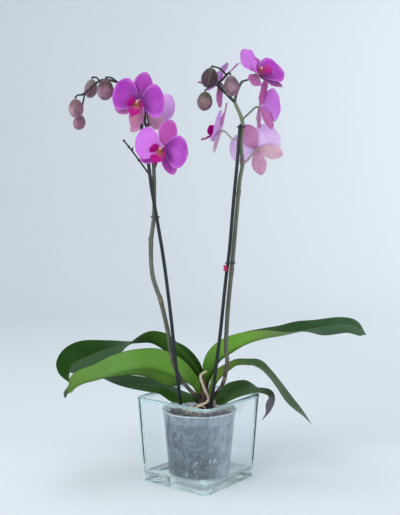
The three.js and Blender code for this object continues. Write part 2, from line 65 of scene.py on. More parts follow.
MIDDLE_LOBE_WIDTHS = [(0, 0), (0.05, 2.6), (0.16, 3.8), (0.3, 5.4), (0.43, 8.0), (0.55, 10.8), (0.66, 11.2),
                      (0.8, 7.6), (0.92, 3.6), (1, 0)]
SIDE_LOBE_WIDTHS = [(0, 0), (0.06, 3.4), (0.22, 6.4), (0.45, 8.6), (0.66, 8.9), (0.84, 7.0), (0.95, 4.1),
                    (1, 0)]
SEPAL_LAYER = -2.5
FLOWER_BACK = 4.2

STEM_LEFT = [
    (5, -5, 143), (-9, -19, 153), (-30, -31, 181), (-45, -36, 218), (-50, -36, 255), (-62, -34, 309),
    (-76.5, -30, 355), (-79, -27, 406), (-74, -29.5, 451), (-73, -26.5, 500), (-75, -24, 545),
    (-82, -18, 587), (-103, -14, 641), (-131, -22, 672)]
STAKE_LEFT = [
    (-25, -4, 42), (-30, -18, 124), (-34, -36, 172), (-38, -43, 210), (-46, -44, 290), (-57, -41, 378),
    (-67, -38, 440), (-77, -35.5, 498), (-84, -27, 548), (-97.5, -21, 619)]
STEM_RIGHT = [
    (13, -6, 136), (30, -22, 154), (42, -29, 175), (48, -29, 209), (46, -26, 233), (49, -22, 295),
    (56, -20, 370), (60.5, -19, 421), (68, -16, 507), (73, -12, 539), (70, -11, 575), (73, -9, 608),
    (60, -4, 642)]
STAKE_RIGHT = [
    (17, -12, 42), (21, -22, 128), (25, -31, 163), (31, -36, 216), (37, -35, 266), (45, -32, 345),
    (51.5, -30, 400), (58, -27, 478), (64, -23, 542), (69, -17, 606)]


# --------------------------------------------------------------------- curve tools
def smooth(points, at):
    """A smooth curve through points: each span is a cubic set by its two ends and
    their neighbours, with the ends mirrored. at counts spans from 0."""
    points = np.asarray(points, float)
    padded = np.vstack([2 * points[0] - points[1], points, 2 * points[-1] - points[-2]])
    at = np.clip(np.asarray(at, float), 0, len(points) - 1)
    span = np.minimum(at.astype(int), len(points) - 2)
    f = (at - span)[..., None]
    a, b, c, d = (padded[span + k] for k in range(4))
    return 0.5 * (2 * b + (c - a) * f + (2 * a - 5 * b + 4 * c - d) * f**2
                  + (3 * b - a - 3 * c + d) * f**3)


def even_path(points, count=PATH_STEPS):
    """The smooth curve through points, as count points evenly spaced along it."""
    fine = smooth(points, np.linspace(0, len(points) - 1, 24 * len(points)))
    run = np.concatenate([[0], np.cumsum(np.linalg.norm(np.diff(fine, axis=0), axis=1))])
    at = np.linspace(0, run[-1], count)
    return np.stack([np.interp(at, run, fine[:, k]) for k in range(3)], 1)


def step_at_height(points, height):
    """Which step of a rising curve lies at one height."""
    return int(np.argmin(abs(even_path(points)[:, 2] - height)))


def path_at_height(points, height):
    return even_path(points)[step_at_height(points, height)]


def unit(v):
    v = np.asarray(v, float)
    return v / np.maximum(np.linalg.norm(v, axis=-1, keepdims=True), 1e-9)


def profile(knots, at):
    """A smooth single value through (position, value) knots, read at positions at."""
    knots = np.asarray(knots, float)
    return smooth(knots, np.interp(at, knots[:, 0], np.arange(len(knots))))[..., 1]


def circle(count):
    return np.linspace(0, TAU, count, endpoint=False)


def eased(count):
    """Fractions from 0 to 1 that crowd together at both ends."""
    return 0.5 - 0.5 * np.cos(np.pi * np.linspace(0, 1, count))


def bump(distance, width):
    """A bell: 1 at no distance, a third at one width."""
    return np.exp(-(distance / width) ** 2)


def swing(angle, first, second):
    """Cosine of the angle along the first direction, sine along the second."""
    return np.cos(angle)[..., None] * first + np.sin(angle)[..., None] * second


def upright(radius, angle, height):
    """Points at a distance and angle round the upright axis, at a height."""
    return np.stack(np.broadcast_arrays(radius * np.cos(angle), radius * np.sin(angle), height), -1)


def marked(rings, along=0.0, across=0.0, side=0.0, tone=0.0):
    """A shell from its rings and where their points lie."""
    marks = np.zeros(rings.shape[:2] + (4,))
    for k, value in enumerate((along, across, side, tone)):
        marks[..., k] = value
    return rings, marks


def tube(points, radius, around, count, tone=0.0, tip=1.0):
    """A round section carried along a curve: at each point, the radius times
    (cos a times one side direction + sin a times the other), rounded at both ends.
    radius is a number or a function of the fraction along the curve."""
    path = even_path(points, count)
    s = np.linspace(0, 1, len(path))
    size = radius(s) if callable(radius) else np.full(len(s), float(radius))
    run = s * np.linalg.norm(np.diff(path, axis=0), axis=1).sum()
    reach = max(size[0], size[-1]) * tip
    near = np.clip(np.minimum(run, run[-1] - run) / reach, 0, 1)
    size = size * np.sqrt(np.clip(1 - (1 - near) ** 2, 0, 1))
    size[[0, -1]] = 0
    tangent = unit(np.gradient(path, axis=0))
    flat = np.linalg.svd(path - path.mean(0))[2][2]
    side = unit(flat - (tangent @ flat)[:, None] * tangent)
    other = np.cross(tangent, side)
    angle = circle(around)
    rings = path[:, None] + size[:, None, None] * swing(angle, side[:, None], other[:, None])
    return marked(rings, s[:, None], angle / TAU, tone=tone)


def lathe(knots, around, shape=None, tone=0.0):
    """Radius and height knots turned about the upright axis; the first and the last
    radius are 0. shape(radius, height, angle) may push the radius in or out."""
    knots = np.asarray(knots, float)
    angle = circle(around)
    r, z = (np.repeat(knots[:, k:k + 1], around, 1) for k in (0, 1))
    if shape:
        r = np.where(r > 0, shape(r, z, angle), 0)
    return marked(upright(r, angle, z), np.linspace(0, 1, len(knots))[:, None], angle / TAU, tone=tone)


def moved(shell, at, axes=None):
    """The shell with its own x, y and z laid along the rows of axes, then shifted."""
    rings, marks = shell
    if axes is not None:
        rings = rings @ axes
    return rings + np.asarray(at, float), marks


# ---------------------------------------------------------------------- mesh making
def shell_faces(n, m):
    """Quads between the inner rings and a fan of triangles at each end point."""
    j = np.arange(m)
    k = (j + 1) % m
    row = 1 + np.arange(n - 3)[:, None] * m
    quads = np.stack([row + j, row + k, row + m + k, row + m + j], -1).reshape(-1, 4)
    last = 1 + (n - 3) * m
    start = np.stack([0 * j, 1 + k, 1 + j], -1)
    stop = np.stack([0 * j + last + m, last + j, last + k], -1)
    return quads, np.vstack([start, stop])


def add_piece(name, shells, finish, slot, replaced=(), sharp=None):
    """One object from closed shells, riding on the body. Each shell whose signed
    volume is negative is turned inside out, so that its faces look outwards."""
    parts, total = [], 0
    for shell in shells:
        body, where = (np.vstack([a[0].mean(0), a[1:-1].reshape(-1, a.shape[-1]), a[-1].mean(0)])
                       for a in shell)
        faces = shell_faces(*shell[0].shape[:2])
        centred = body - body.mean(0)
        a, b, c, d = centred[faces[0].T]
        corners = ((a, b, c), (a, c, d), centred[faces[1].T])
        if sum(np.einsum("ij,ij->", u, np.cross(v, w)) for u, v, w in corners) < 0:
            faces = [face[:, ::-1] for face in faces]
        parts.append((body, where, *(face + total for face in faces)))
        total += len(body)
    points, marks, quads, fans = (np.vstack(part) for part in zip(*parts))
    mesh = bpy.data.meshes.new(name)
    mesh.vertices.add(len(points))
    mesh.vertices.foreach_set("co", (points * MM).astype(np.float32).ravel())
    mesh.loops.add(quads.size + fans.size)
    mesh.loops.foreach_set("vertex_index", np.concatenate([quads.ravel(), fans.ravel()]).astype(np.int32))
    mesh.polygons.add(len(quads) + len(fans))
    starts = np.concatenate([np.arange(len(quads)) * 4, quads.size + np.arange(len(fans)) * 3])
    mesh.polygons.foreach_set("loop_start", starts.astype(np.int32))
    mesh.update(calc_edges=True)
    mesh.validate()
    for key, kind, field, values in (("place", "FLOAT_VECTOR", "vector", marks[:, :3]),
                                     ("tone", "FLOAT", "value", marks[:, 3])):
        mesh.attributes.new(key, kind, "POINT").data.foreach_set(field, values.astype(np.float32).ravel())
    mesh.shade_smooth()
    if sharp:
        mesh.set_sharp_from_angle(angle=np.radians(sharp))
    piece = bpy.data.objects.new(name, mesh)
    bpy.context.collection.objects.link(piece)
    mesh.materials.append(finish)
    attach(piece, "root")
    if replaced:
        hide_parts(*replaced)


# -------------------------------------------------------------------------- finishes
def rgb(text):
    """A colour written as six hex digits, as the linear values that shaders use."""
    c = np.array([int(text[k:k + 2], 16) for k in (0, 2, 4)]) / 255
    c = np.where(c <= 0.04045, c / 12.92, ((c + 0.055) / 1.055) ** 2.4)
    return (*[float(x) for x in c], 1.0)


class Finish:
    """A surface finish being put together: one Principled shader, what feeds it, and
    colour, the colour built up so far. A colour is hex digits or a node's output."""

    def __init__(self, name, colour="000000", **settings):
        self.material = bpy.data.materials.new(name)
        self.material.use_nodes = True
        self.nodes, self.links = self.material.node_tree.nodes, self.material.node_tree.links
        self.shader = self.nodes["Principled BSDF"]
        self.colour = colour
        self.fill(self.shader, settings)

    def fill(self, node, values):
        for key, value in values.items():
            socket = node.inputs[key if isinstance(key, int) else key.replace("_", " ")]
            if isinstance(value, bpy.types.NodeSocket):
                self.links.new(value, socket)
            else:
                socket.default_value = rgb(value) if isinstance(value, str) else value

    def add(self, kind, values, output=0, **settings):
        node = self.nodes.new("ShaderNode" + kind)
        for key, value in settings.items():
            setattr(node, key, value)
        self.fill(node, values)
        return node.outputs[output]

    def position(self, squeeze=1.0):
        """The place in space; a squeeze below 1 draws patterns out upright."""
        return self.add("Mapping", {"Vector": self.add("TexCoord", {}, "Object"), "Scale": (1, 1, squeeze)})

    def axis(self, k):
        return self.add("SeparateXYZ", {0: self.add("TexCoord", {}, "Object")}, k)

    def level(self, low, high):
        """0 at the low height, 1 at the high one, in metres."""
        return self.add("MapRange", {0: self.axis(2), 1: low, 2: high, 3: 0, 4: 1})

    def place(self):
        """Where a point lies on its own surface: along, across or round, and side."""
        split = self.add("SeparateXYZ", {0: self.add("Attribute", {}, "Vector", attribute_name="place")})
        return list(split.node.outputs)

    def tone(self):
        return self.add("Attribute", {}, "Fac", attribute_name="tone")

    def noise(self, scale, detail=3, rough=0.5, squeeze=1.0):
        values = {"Vector": self.position(squeeze), "Scale": scale, "Detail": detail, "Roughness": rough}
        return self.add("TexNoise", values)

    def cells(self, scale, feature="F1"):
        values = {"Vector": self.position(), "Scale": scale}
        return self.add("TexVoronoi", values, "Distance", feature=feature)

    def calc(self, operation, *values):
        return self.add("Math", dict(enumerate(values)), operation=operation)

    def times(self, a, b):
        return self.calc("MULTIPLY", a, b)

    def plus(self, a, b):
        return self.calc("ADD", a, b)

    def larger(self, a, b):
        return self.calc("MAXIMUM", a, b)

    def width(self, across):
        return self.calc("ABSOLUTE", across)

    def stripes(self, value, count):
        """0 to a half and back, count times as the value rises by 1."""
        return self.calc("PINGPONG", self.times(value, count), 0.5)

    def between(self, value, low, high, start=0, stop=1):
        """start where the value is low, stop where it is high, smooth in between."""
        return self.add("MapRange", {0: value, 1: low, 2: high, 3: start, 4: stop},
                        interpolation_type="SMOOTHSTEP")

    def tint(self, colour, where, amount=None, blend="MIX"):
        """Pull the colour so far towards another one where a value is high."""
        where = where if amount is None else self.times(where, amount)
        self.colour = self.add("Mix", {0: where, 6: self.colour, 7: colour}, 2,
                               data_type="RGBA", blend_type=blend)

    def ramp(self, value, text):
        """A colour for each value, from text such as 0:000000 1:FFFFFF."""
        node = self.nodes.new("ShaderNodeValToRGB")
        self.links.new(value, node.inputs[0])
        stops = [stop.split(":") for stop in text.split()]
        marks = node.color_ramp.elements
        while len(marks) < len(stops):
            marks.new(1.0)
        for mark, (at, colour) in zip(marks, stops):
            mark.position, mark.color = float(at), rgb(colour)
        return node.outputs[0]

    def relief(self, height, depth, strength, under=None):
        """Small relief: height 0 to 1 stands for depth millimetres."""
        values = {"Height": height, "Distance": depth * MM, "Strength": strength}
        return self.add("Bump", values if under is None else {**values, "Normal": under})

    def done(self, relief, **values):
        self.fill(self.shader, {"Base Color": self.colour, "Normal": relief, **values})
        return self.material


def petal_finish(name, front_mid, front_rim, front_deep, back, back_vein, pale, pale_back, rich):
    """Petal skin: deeper towards the base, a lighter rim, fanning veins that fork
    once, a softer back. tone paints light and shade: above 0 it pulls towards the pale
    colours, painted light, below 0 towards the rich one, painted on pieces in shade."""
    f = Finish(name, front_deep, Roughness=0.5, Subsurface_Weight=0.12, Subsurface_Scale=0.003,
               Subsurface_Radius=(1.0, 0.45, 0.9), Sheen_Weight=0.1, Sheen_Roughness=0.4,
               Sheen_Tint="F2D2F6", Specular_IOR_Level=0.2)
    along, across, side = f.place()
    tone = f.tone()
    more, less = f.between(tone, 0, 1), f.between(tone, -1, 0, 1, 0)
    fan = f.plus(across, f.times(f.noise(90, 2), 0.16))
    coarse = f.between(f.stripes(fan, 6), 0, 0.16, 1, 0)
    fork = f.times(f.between(f.stripes(fan, 14), 0, 0.2, 1, 0), f.between(along, 0.25, 0.5))
    veins = f.larger(coarse, f.times(fork, 0.7))
    edge = f.larger(f.between(f.width(across), 0.7, 1), f.between(along, 0.84, 1))
    cloud = f.noise(38, 4, 0.6)
    f.tint(front_mid, f.between(along, 0.06, 0.66))
    f.tint(front_rim, f.between(cloud, 0.4, 0.8, 0, 0.45))
    # Painted light and shade: tone above 0 pales the front, below 0 gives it the rich colour.
    f.tint(pale, more)
    f.tint(rich, less)
    f.tint(front_deep, veins, 0.2)
    f.tint(front_rim, edge, 0.7)
    front, f.colour = f.colour, back
    # Painted light and shade on the back, the same way.
    f.tint(pale_back, more)
    f.tint(rich, less)
    f.tint(back_vein, f.between(cloud, 0.35, 0.75, 0, 0.4))
    f.tint(back_vein, veins, 0.35)
    f.tint(back_vein, f.between(along, 0, 0.35, 0.7, 0))
    f.tint(front, f.between(side, 0.35, 0.65))
    return f.done(f.relief(veins, 0.22, 0.7, f.relief(f.cells(1500), 0.05, 0.5)))


def lip_finish(name):
    """Lip: magenta with darker stripes, a wine foot and a slightly paler rim; tone
    pulls it towards the golden brown of the throat and the callus."""
    f = Finish(name, "A0026E", Roughness=0.38, Subsurface_Weight=0.05, Subsurface_Scale=0.003,
               Subsurface_Radius=(1.0, 0.3, 0.8), Coat_Weight=0.03, Coat_Roughness=0.3,
               Specular_IOR_Level=0.15)
    along, across, _ = f.place()
    f.tint("C00894", f.noise(120))
    f.tint("7E0250", f.between(f.stripes(f.plus(across, f.noise(160)), 4), 0, 0.25, 1, 0), 0.5)
    f.tint("5E0A34", f.between(along, 0, 0.25, 0.9, 0))
    f.tint("E084CC", f.larger(f.between(f.width(across), 0.78, 0.98), f.between(along, 0.86, 0.98)), 0.12)
    f.tint(f.ramp(f.noise(420), "0.3:8A3B1E 0.5:C08A3A 0.7:E6C47A"), f.tone())
    return f.done(f.relief(f.noise(900), 0.12, 0.5))


def column_finish(name):
    """Column: white and pink, pinker towards its foot, waxy."""
    f = Finish(name, Roughness=0.3, Subsurface_Weight=0.2, Subsurface_Scale=0.003, Coat_Weight=0.3)
    f.colour = f.ramp(f.place()[0], "0:8E2C84 0.4:B0529E 0.72:CC80A4 1:DCAE96")
    f.tint("C050A8", f.between(f.noise(500), 0.5, 0.7, 0, 0.4))
    return f.done(f.relief(f.noise(700), 0.1, 0.4))


def bud_finish(name, body, cap, blotch, pale):
    """Bud skin: mauve with long uneven blotches, a darker cap at the stalk, olive
    along the seams, and tone paints a highlight, pulling the flank that faces the light towards its pale
    colour."""
    f = Finish(name, body, Roughness=0.5, Subsurface_Weight=0.06, Subsurface_Scale=0.003,
               Sheen_Weight=0.12, Specular_IOR_Level=0.3)
    along, around, side = f.place()
    streak = f.between(f.noise(150, 4, 0.62, 0.28), 0.42, 0.66)
    bent = f.plus(around, f.times(f.noise(90), 0.12))
    fine = f.between(f.stripes(bent, 27), 0, 0.3, 1, 0)
    # Painted highlight on the flank that faces the light.
    f.tint(pale, f.tone(), 0.8)
    f.tint(blotch, streak, 0.74)
    f.tint(blotch, fine, 0.3)
    f.tint(cap, f.between(f.plus(along, f.times(f.noise(60), 0.5)), 0.56, 1.04, 0, 0.9))
    f.tint("6E6A48", side, 0.4)
    grain = f.relief(f.cells(900), 0.08, 0.4)
    return f.done(f.relief(streak, 0.25, 0.5, f.relief(fine, 0.12, 0.6, grain)))


def leaf_finish(name, side, tip, band, top, under, vein, withered):
    """Leaf: waxy mottled top with a pale midrib line, duller yellow-green underside
    with soft lengthwise bands. Both run through their own colours from base to tip,
    with a dark thin margin and a tip that withers past tip. band paints a grey sheen,
    a reflection, over the half blade on the near side."""
    f = Finish(name, Specular_IOR_Level=0.06, Coat_Weight=0.02, Coat_Roughness=0.2)
    along, across, face = f.place()
    width = f.width(across)
    cloud = f.noise(22, 5, 0.6)
    ripple = f.plus(across, f.times(f.noise(14, 2), 0.08))
    lines, hair = (f.between(f.stripes(ripple, count), 0, 0.5) for count in (8, 47))
    where = f.plus(along, f.times(f.calc("SUBTRACT", f.noise(9), 0.5), 0.12))
    f.colour = f.ramp(where, top)
    f.tint(vein, f.between(cloud, 0.35, 0.75, 0, 0.8), blend="SOFT_LIGHT")
    f.tint(vein, lines, 0.035)
    # Painted sheen: the near half blade greyed as by a reflection, as much as band says.
    f.tint("5C7864", f.between(across, -0.04, 0.06, 0, band))
    f.tint(vein, f.between(width, 0, 0.05, 0.25, 0))
    upper, f.colour = f.colour, f.ramp(where, under)
    f.tint("9CB060", f.between(cloud, 0.3, 0.75, 0, 0.75), blend="SOFT_LIGHT")
    f.tint(vein, lines, 0.08)
    f.tint("3C5A22", f.between(width, 0, 0.32, 0.32, 0))
    # Painted light: the far half of the underside lighter, for light thrown up from the floor.
    f.tint("A4CC70", f.between(across, -0.9, 0, 0.28, 0))
    f.tint(upper, f.between(face, 0.4, 0.6))
    f.tint("263C1C", f.between(width, 0.95, 1, 0, 0.7))
    f.tint(withered, f.between(f.plus(along, f.times(f.noise(55, 4), 0.06)), tip, tip + 0.12))
    f.tint(vein, f.between(f.noise(260, 2), 0.64, 0.8, 0, 0.18))
    rough = f.plus(f.between(face, 0.4, 0.6, 0.5, 0.36), f.times(cloud, 0.14))
    skin = f.relief(hair, 0.06, 0.5, f.relief(f.cells(700), 0.1, 0.35))
    midrib = f.relief(f.between(width, 0, 0.05), 0.8, 0.6, f.relief(lines, 0.25, 0.4, skin))
    return f.done(midrib, Roughness=rough)


def stem_finish(name, stops, dark):
    """Stem skin: colour by height, fine lengthwise streaks and small pale specks;
    tone above 0 pulls it towards the dark of the bud branches, below 0 to a pale beige."""
    f = Finish(name, Roughness=0.42, Specular_IOR_Level=0.45, Subsurface_Weight=0.03,
               Subsurface_Scale=0.002)
    f.colour = f.ramp(f.level(0.12, 0.72), stops)
    streaks = f.noise(900, squeeze=0.07)
    f.tint(dark, f.between(streaks, 0.35, 0.7, 0, 0.3))
    f.tint("8F8F78", f.between(f.noise(75, 4, 0.6), 0.45, 0.75, 0, 0.35))
    f.tint("B4AE98", f.between(f.noise(1100, 1), 0.66, 0.74, 0, 0.35))
    f.tint(dark, f.between(f.tone(), 0, 1, 0, 0.92))
    f.tint("BDB9A6", f.between(f.tone(), -1, 0, 0.9, 0))
    return f.done(f.relief(streaks, 0.25, 0.6))


def scale_finish(name):
    """Dry scale at a node: brown with paler fibres and a darker point."""
    f = Finish(name, "5C4A40", Roughness=0.7)
    along, across, _ = f.place()
    fibres = f.between(f.stripes(across, 7), 0, 0.4)
    f.tint("8E7866", fibres)
    f.tint("5A4636", f.between(along, 0.5, 1, 0, 0.7))
    f.tint("8D8A62", f.between(f.noise(300), 0.4, 0.7, 0, 0.4))
    return f.done(f.relief(fibres, 0.15, 0.7))


def root_finish(name, skin, shade, tip):
    """Root: pale corky skin with fine cracks, green towards a growing tip."""
    f = Finish(name, shade, Roughness=0.75, Subsurface_Weight=0.06, Subsurface_Scale=0.002)
    cracks = f.between(f.cells(420, "DISTANCE_TO_EDGE"), 0, 0.1, 1, 0)
    f.tint(skin, f.noise(160, 5, 0.65))
    f.tint(shade, cracks, 0.35)
    f.tint(tip, f.between(f.place()[0], 0, 0.16, 1, 0))
    return f.done(f.relief(cracks, -0.2, 0.6, f.relief(f.noise(500), 0.3, 0.5)))


def bark_finish(name):
    """Bark chips: each chip its own brown by its tone, with grain and pale splinters."""
    f = Finish(name, Roughness=0.92)
    f.colour = f.ramp(f.tone(), "0:1E1A1C 0.35:332B2A 0.6:4C403E 0.8:75655E 1:A8988E")
    grain = f.noise(500, 5, 0.7, 0.2)
    f.tint("2A211D", f.between(grain, 0.4, 0.7, 0, 0.6))
    f.tint("9A8A80", f.between(f.noise(130, 4), 0.6, 0.8, 0, 0.5))
    return f.done(f.relief(grain, 0.8, 0.8))


def crown_finish(name):
    """Crown: old brown sheaths, plum dark below, olive and reddish above."""
    f = Finish(name, Roughness=0.6)
    f.colour = f.ramp(f.level(0.118, 0.19), "0:1E1519 0.3:2C2023 0.5:3C3029 0.72:54402F 1:6C7A3E")
    fibres = f.noise(700, 4, squeeze=0.1)
    f.tint("6A5648", f.between(fibres, 0.4, 0.65, 0, 0.55))
    f.tint("241A1C", f.between(f.noise(90), 0.5, 0.7, 0, 0.5))
    return f.done(f.relief(fibres, 0.6, 0.8))


def stake_finish(name):
    """Coated stake: slate, slightly glossy, faint lengthwise drag lines and scuffs."""
    f = Finish(name, "10171B", Specular_IOR_Level=0.35)
    drag = f.noise(1500, 2, squeeze=0.02)
    scuff = f.noise(60, 5, 0.7)
    f.tint("222C31", f.between(drag, 0.35, 0.7))
    f.tint("465258", f.between(scuff, 0.55, 0.8, 0, 0.5))
    return f.done(f.relief(drag, 0.12, 0.5), Roughness=f.between(scuff, 0.3, 0.8, 0.3, 0.55))


def moulded_finish(name, dark, light, rough):
    """Small moulded plastic pieces: two close shades, fine satin grain."""
    f = Finish(name, dark, Specular_IOR_Level=0.5, Coat_Weight=0.2)
    f.tint(light, f.noise(240))
    satin = f.between(f.noise(420, 4), 0.3, 0.8, rough, rough + 0.2)
    return f.done(f.relief(f.cells(2500), 0.04, 0.5), Roughness=satin)


def vase_finish(name):
    """Pressed clear glass: nearly colourless faces with small ripples, aqua where it
    is seen edge on, most of all at the corners; tone makes the rim and foot a stronger
    aqua. That aqua, less clear than the faces, is partly the glass's own tint and partly
    painted reflection for the bright lines along its edges. Lamps shine through."""
    f = Finish(name, "FCFFFF", IOR=1.42, Roughness=0.0, Specular_IOR_Level=0.4)
    rim = f.tone()
    facing = f.add("LayerWeight", {"Blend": 0.5}, "Facing")
    grazing = f.between(facing, 0.72, 0.95)
    corner = f.times(f.place()[2], f.between(facing, 0.3, 0.5))
    # Partly the glass's tint, partly painted reflection: aqua and less clear at grazing angles, corners, rim
    # and foot.
    f.tint("D3F0F0", f.larger(f.larger(rim, grazing), corner))
    clear = f.calc("MINIMUM", f.between(rim, 0, 1, 1, 0.7), f.between(grazing, 0, 1, 1, 0.4))
    clear = f.calc("SUBTRACT", clear, f.times(corner, 0.75))
    alpha = f.between(f.add("LightPath", {}, "Is Shadow Ray"), 0, 1, 1, 0.1)
    return f.done(f.relief(f.noise(9, 2), 0.5, 0.15), Transmission_Weight=clear, Alpha=alpha)


def pot_finish(name):
    """Thin clear plastic gone milky: a hazy blue-grey film, scuffed and streaked down
    its sides, greener low down, with pale marks, a faint stain here and there, and a
    right third made paler and hazier as a painted reflection of a window on the right;
    tone makes the lip more solid."""
    f = Finish(name, "60748C", Specular_IOR_Level=0.4)
    scuff = f.noise(110, 5, 0.7, 0.4)
    stain = f.noise(32, 3, 0.6)
    low = f.between(f.axis(2), 0.03, 0.1, 1, 0)
    marks = f.between(f.noise(120, 4, 0.75, 0.6), 0.58, 0.64)
    marks = f.times(marks, f.plus(f.times(low, 0.4), 0.3))
    # Painted reflection: the right third paler and hazier, as a window mirrored in the plastic.
    window_reflection = f.times(f.between(f.axis(0), 0.012, 0.042), f.between(stain, 0.3, 0.6, 0.55, 1))
    f.tint("98ACC2", f.between(scuff, 0.3, 0.7))
    f.tint("A08C86", f.between(stain, 0.6, 0.8, 0, 0.4))
    f.tint("566A6A", low, 0.55)
    f.tint("C4D2CC", marks)
    f.tint("D2DEE4", f.tone())
    f.tint("B8CAD6", window_reflection)
    haze = f.between(scuff, 0.3, 0.8, 0.24, 0.44)
    for value, amount in ((f.tone(), 0.35), (window_reflection, 0.22), (marks, 0.55)):
        haze = f.plus(haze, f.times(value, amount))
    return f.done(f.relief(scuff, 0.25, 0.4), Alpha=haze, Roughness=f.between(scuff, 0.3, 0.75, 0.15, 0.5))


# ---------------------------------------------------------------------------- flowers
def table(fields, rows):
    """Named rows as dictionaries with the same fields."""
    return {name: dict(zip(fields.split(), row)) for name, *row in rows}


# The last two columns give each sepal and each petal its tone. For the petals it is painted light and shade:
# above 0 paler on petals that face the lamps, below 0 a richer violet on petals that lie in shade. For the
# sepals it is partly their own dusty pink and partly painted shade on sepals that lie in shade.
FLOWERS = table("at face lean petals sepals tilts dust glow", [
    ("left_1", (-96, -36, 640.5), (-0.28, -0.95, -0.16), 16, (-80, 75), (-123, 182), (5, -2),
     (0.05, 0.6, 0.9), (0, 0.2)),
    ("left_2", (-58, -48, 564.5), (-0.3, -0.93, -0.2), 22, (-94, 82), (-139, 140), (6, -2),
     (-0.7, 0.1, -0.3), (0.7, 0.15)),
    ("left_3", (-83, 22, 629.5), (0.45, 0.8, -0.35), -5, (-80, 80), (-140, 140), (6, -2),
     (0.1, 0.3, 0.3), (-0.42, -0.42)),
    ("right_1", (97.5, -20, 687), (0.5, -0.58, 0.64), 10, (-48, 78), (-145, 116), (16, 4),
     (0.1, 0.5, 0.35), (0.72, 0)),
    ("right_2", (104, -5, 633), (0.945, 0.32, 0.05), 12, (-82, 80), (-138, 134), (15, 11, 11),
     (-1, -0.6, -0.5), (-0.75, -0.75)),
    ("right_3", (99, 43, 567), (0.05, 0.95, 0.3), -27, (-76, 70), (-130, 164), (6, -2),
     (-0.2, 0.95, 0.35), (0.8, 0.8)),
    ("right_4", (35.5, -10, 594.5), (-0.95, 0.08, 0.28), 10, (-80, 80), (-140, 140), (6, 3),
     (-0.4, 0.5, 0.5), (-0.4, -0.4)),
    ("right_5", (34, 46, 681), (-0.76, 0, 0.65), 40, (-80, 80), (-140, 142), (6, -38),
     (-0.1, 0.5, 0.5), (-0.4, -0.4))])


def flower_axes(flower):
    """Right, up and facing directions of a flower, as rows."""
    front = unit(flower["face"])
    lean = np.radians(flower["lean"])
    up = np.array([np.sin(lean), 0, np.cos(lean)])
    up = unit(up - (up @ front) * front)
    return np.stack([np.cross(up, front), up, front])


def blade(length, base, along, across, bend, cup, thick, widths, rows=44, cols=26, wave=0.0, phase=0.0,
          groove=0.0, tone=0.0):
    """A thin blade from base: s runs along it, t from edge to edge, and widths gives
    its half width at s. bend lifts the tip with s squared, cup lifts the edges with t
    squared, wave ruffles the edges, groove sinks the midline, and the thickness is a
    lens across t."""
    along, across = unit(along), unit(across)
    s = eased(rows)
    half = np.maximum(profile(widths, s), 0)
    half[[0, -1]] = 0
    angle = circle(cols)
    t, side = np.cos(angle), np.sin(angle)
    s, half = s[:, None], half[:, None]
    fade = np.minimum(half / 10, 1)
    ruffle = wave * np.sin(TAU * (1.6 * s + 0.35 * np.sign(t) * s) + phase) * abs(t) ** 3 * fade
    ruffle = ruffle + 0.4 * wave * np.sin(TAU * 4.3 * s + 2 * phase + t) * abs(t) ** 4 * fade
    crease = groove * bump(t * half, 1.6) * np.minimum(half / 6, 1) * (1 - 0.6 * s)
    lens = 0.5 * thick * side * np.minimum(1, half / 3)
    lift = bend * length * s**2 + cup * half * t**2 + ruffle - crease + lens
    rings = (np.asarray(base, float) + (s * length)[..., None] * along
             + (t * half)[..., None] * across + lift[..., None] * np.cross(across, along))
    return marked(rings, s, t * np.minimum(1, (half / (0.35 * half.max())) ** 0.5),
                  np.clip(0.5 + 2 * side, 0, 1), tone)


def tepal(size, clock, tilt, bend, cup, layer, **more):
    """A petal or sepal at one clock angle round the flower's centre."""
    a, lift = np.radians(clock), np.radians(tilt)
    out = np.array([np.sin(a), np.cos(a), 0])
    along = np.array([out[0] * np.cos(lift), out[1] * np.cos(lift), np.sin(lift)])
    base = size["base"] * out + np.array([0, 0, layer])
    return blade(size["length"], base, along, (np.cos(a), -np.sin(a), 0), bend, cup, **more)


def knob(halves, at, around=16, tone=0.0):
    """A rounded lump: a ball stretched along each axis."""
    a = np.linspace(0, np.pi, 10)
    rings, marks = lathe(np.stack([np.sin(a).round(9), np.cos(a)], 1), around, tone=tone)
    return rings * np.asarray(halves, float) + np.asarray(at, float), marks


def lip_shells():
    """Three-lobed lip: a spade-shaped middle lobe bent forward and down, two broad
    side lobes cupped beside the column, a two-knobbed callus and two curled tendrils.
    tone rises towards the feet of the lobes and is 1 on the callus."""
    middle = blade(25, (0, -5.4, 4.5), (0, -0.78, 0.62), (1, 0, 0), -0.13, -0.2, 1.2, MIDDLE_LOBE_WIDTHS,
                   rows=36, cols=24, groove=-0.6, wave=0.5)
    along, across = middle[1][..., 0], middle[1][..., 1]
    middle[1][..., 3] = 0.9 * np.clip(1.15 - along / 0.42, 0, 1) * (1 - 0.6 * abs(across))
    shells = [middle]
    turn = np.linspace(0, 1, 9)[:, None]
    spin, curl = 1.5 + 5.0 * turn, 3.0 * (1 - 0.35 * turn)
    for side in (-1, 1):
        lobe = blade(18, (side * 3.4, -5.4, 4.6), (side * 0.6, 0.2, 0.77), (side * 0.32, -0.94, 0.1),
                     0.08, 0.2, 1.1, SIDE_LOBE_WIDTHS, rows=30, cols=24, wave=0.5, phase=side)
        lobe[1][..., 3] = 0.75 * np.clip(1 - lobe[1][..., 0] / 0.36, 0, 1)
        path = np.hstack([side * (0.8 + 4.0 * turn**1.1), -21.0 + curl * np.cos(spin),
                          23.2 + curl * np.sin(spin - 2.2)])
        path = np.vstack([[side * 0.3, -19.6, 18.6], [side * 0.6, -20.4, 20.2], path])
        shells += [lobe, knob((2.2, 1.7, 2.6), (side * 1.9, -4.1, 7.6), 14, tone=1.0),
                   tube(path, lambda s: 0.7 - 0.34 * s, 8, 44)]
    return [*shells, knob((4.4, 2.0, 1.7), (0, -5.9, 4.9), tone=0.35)]


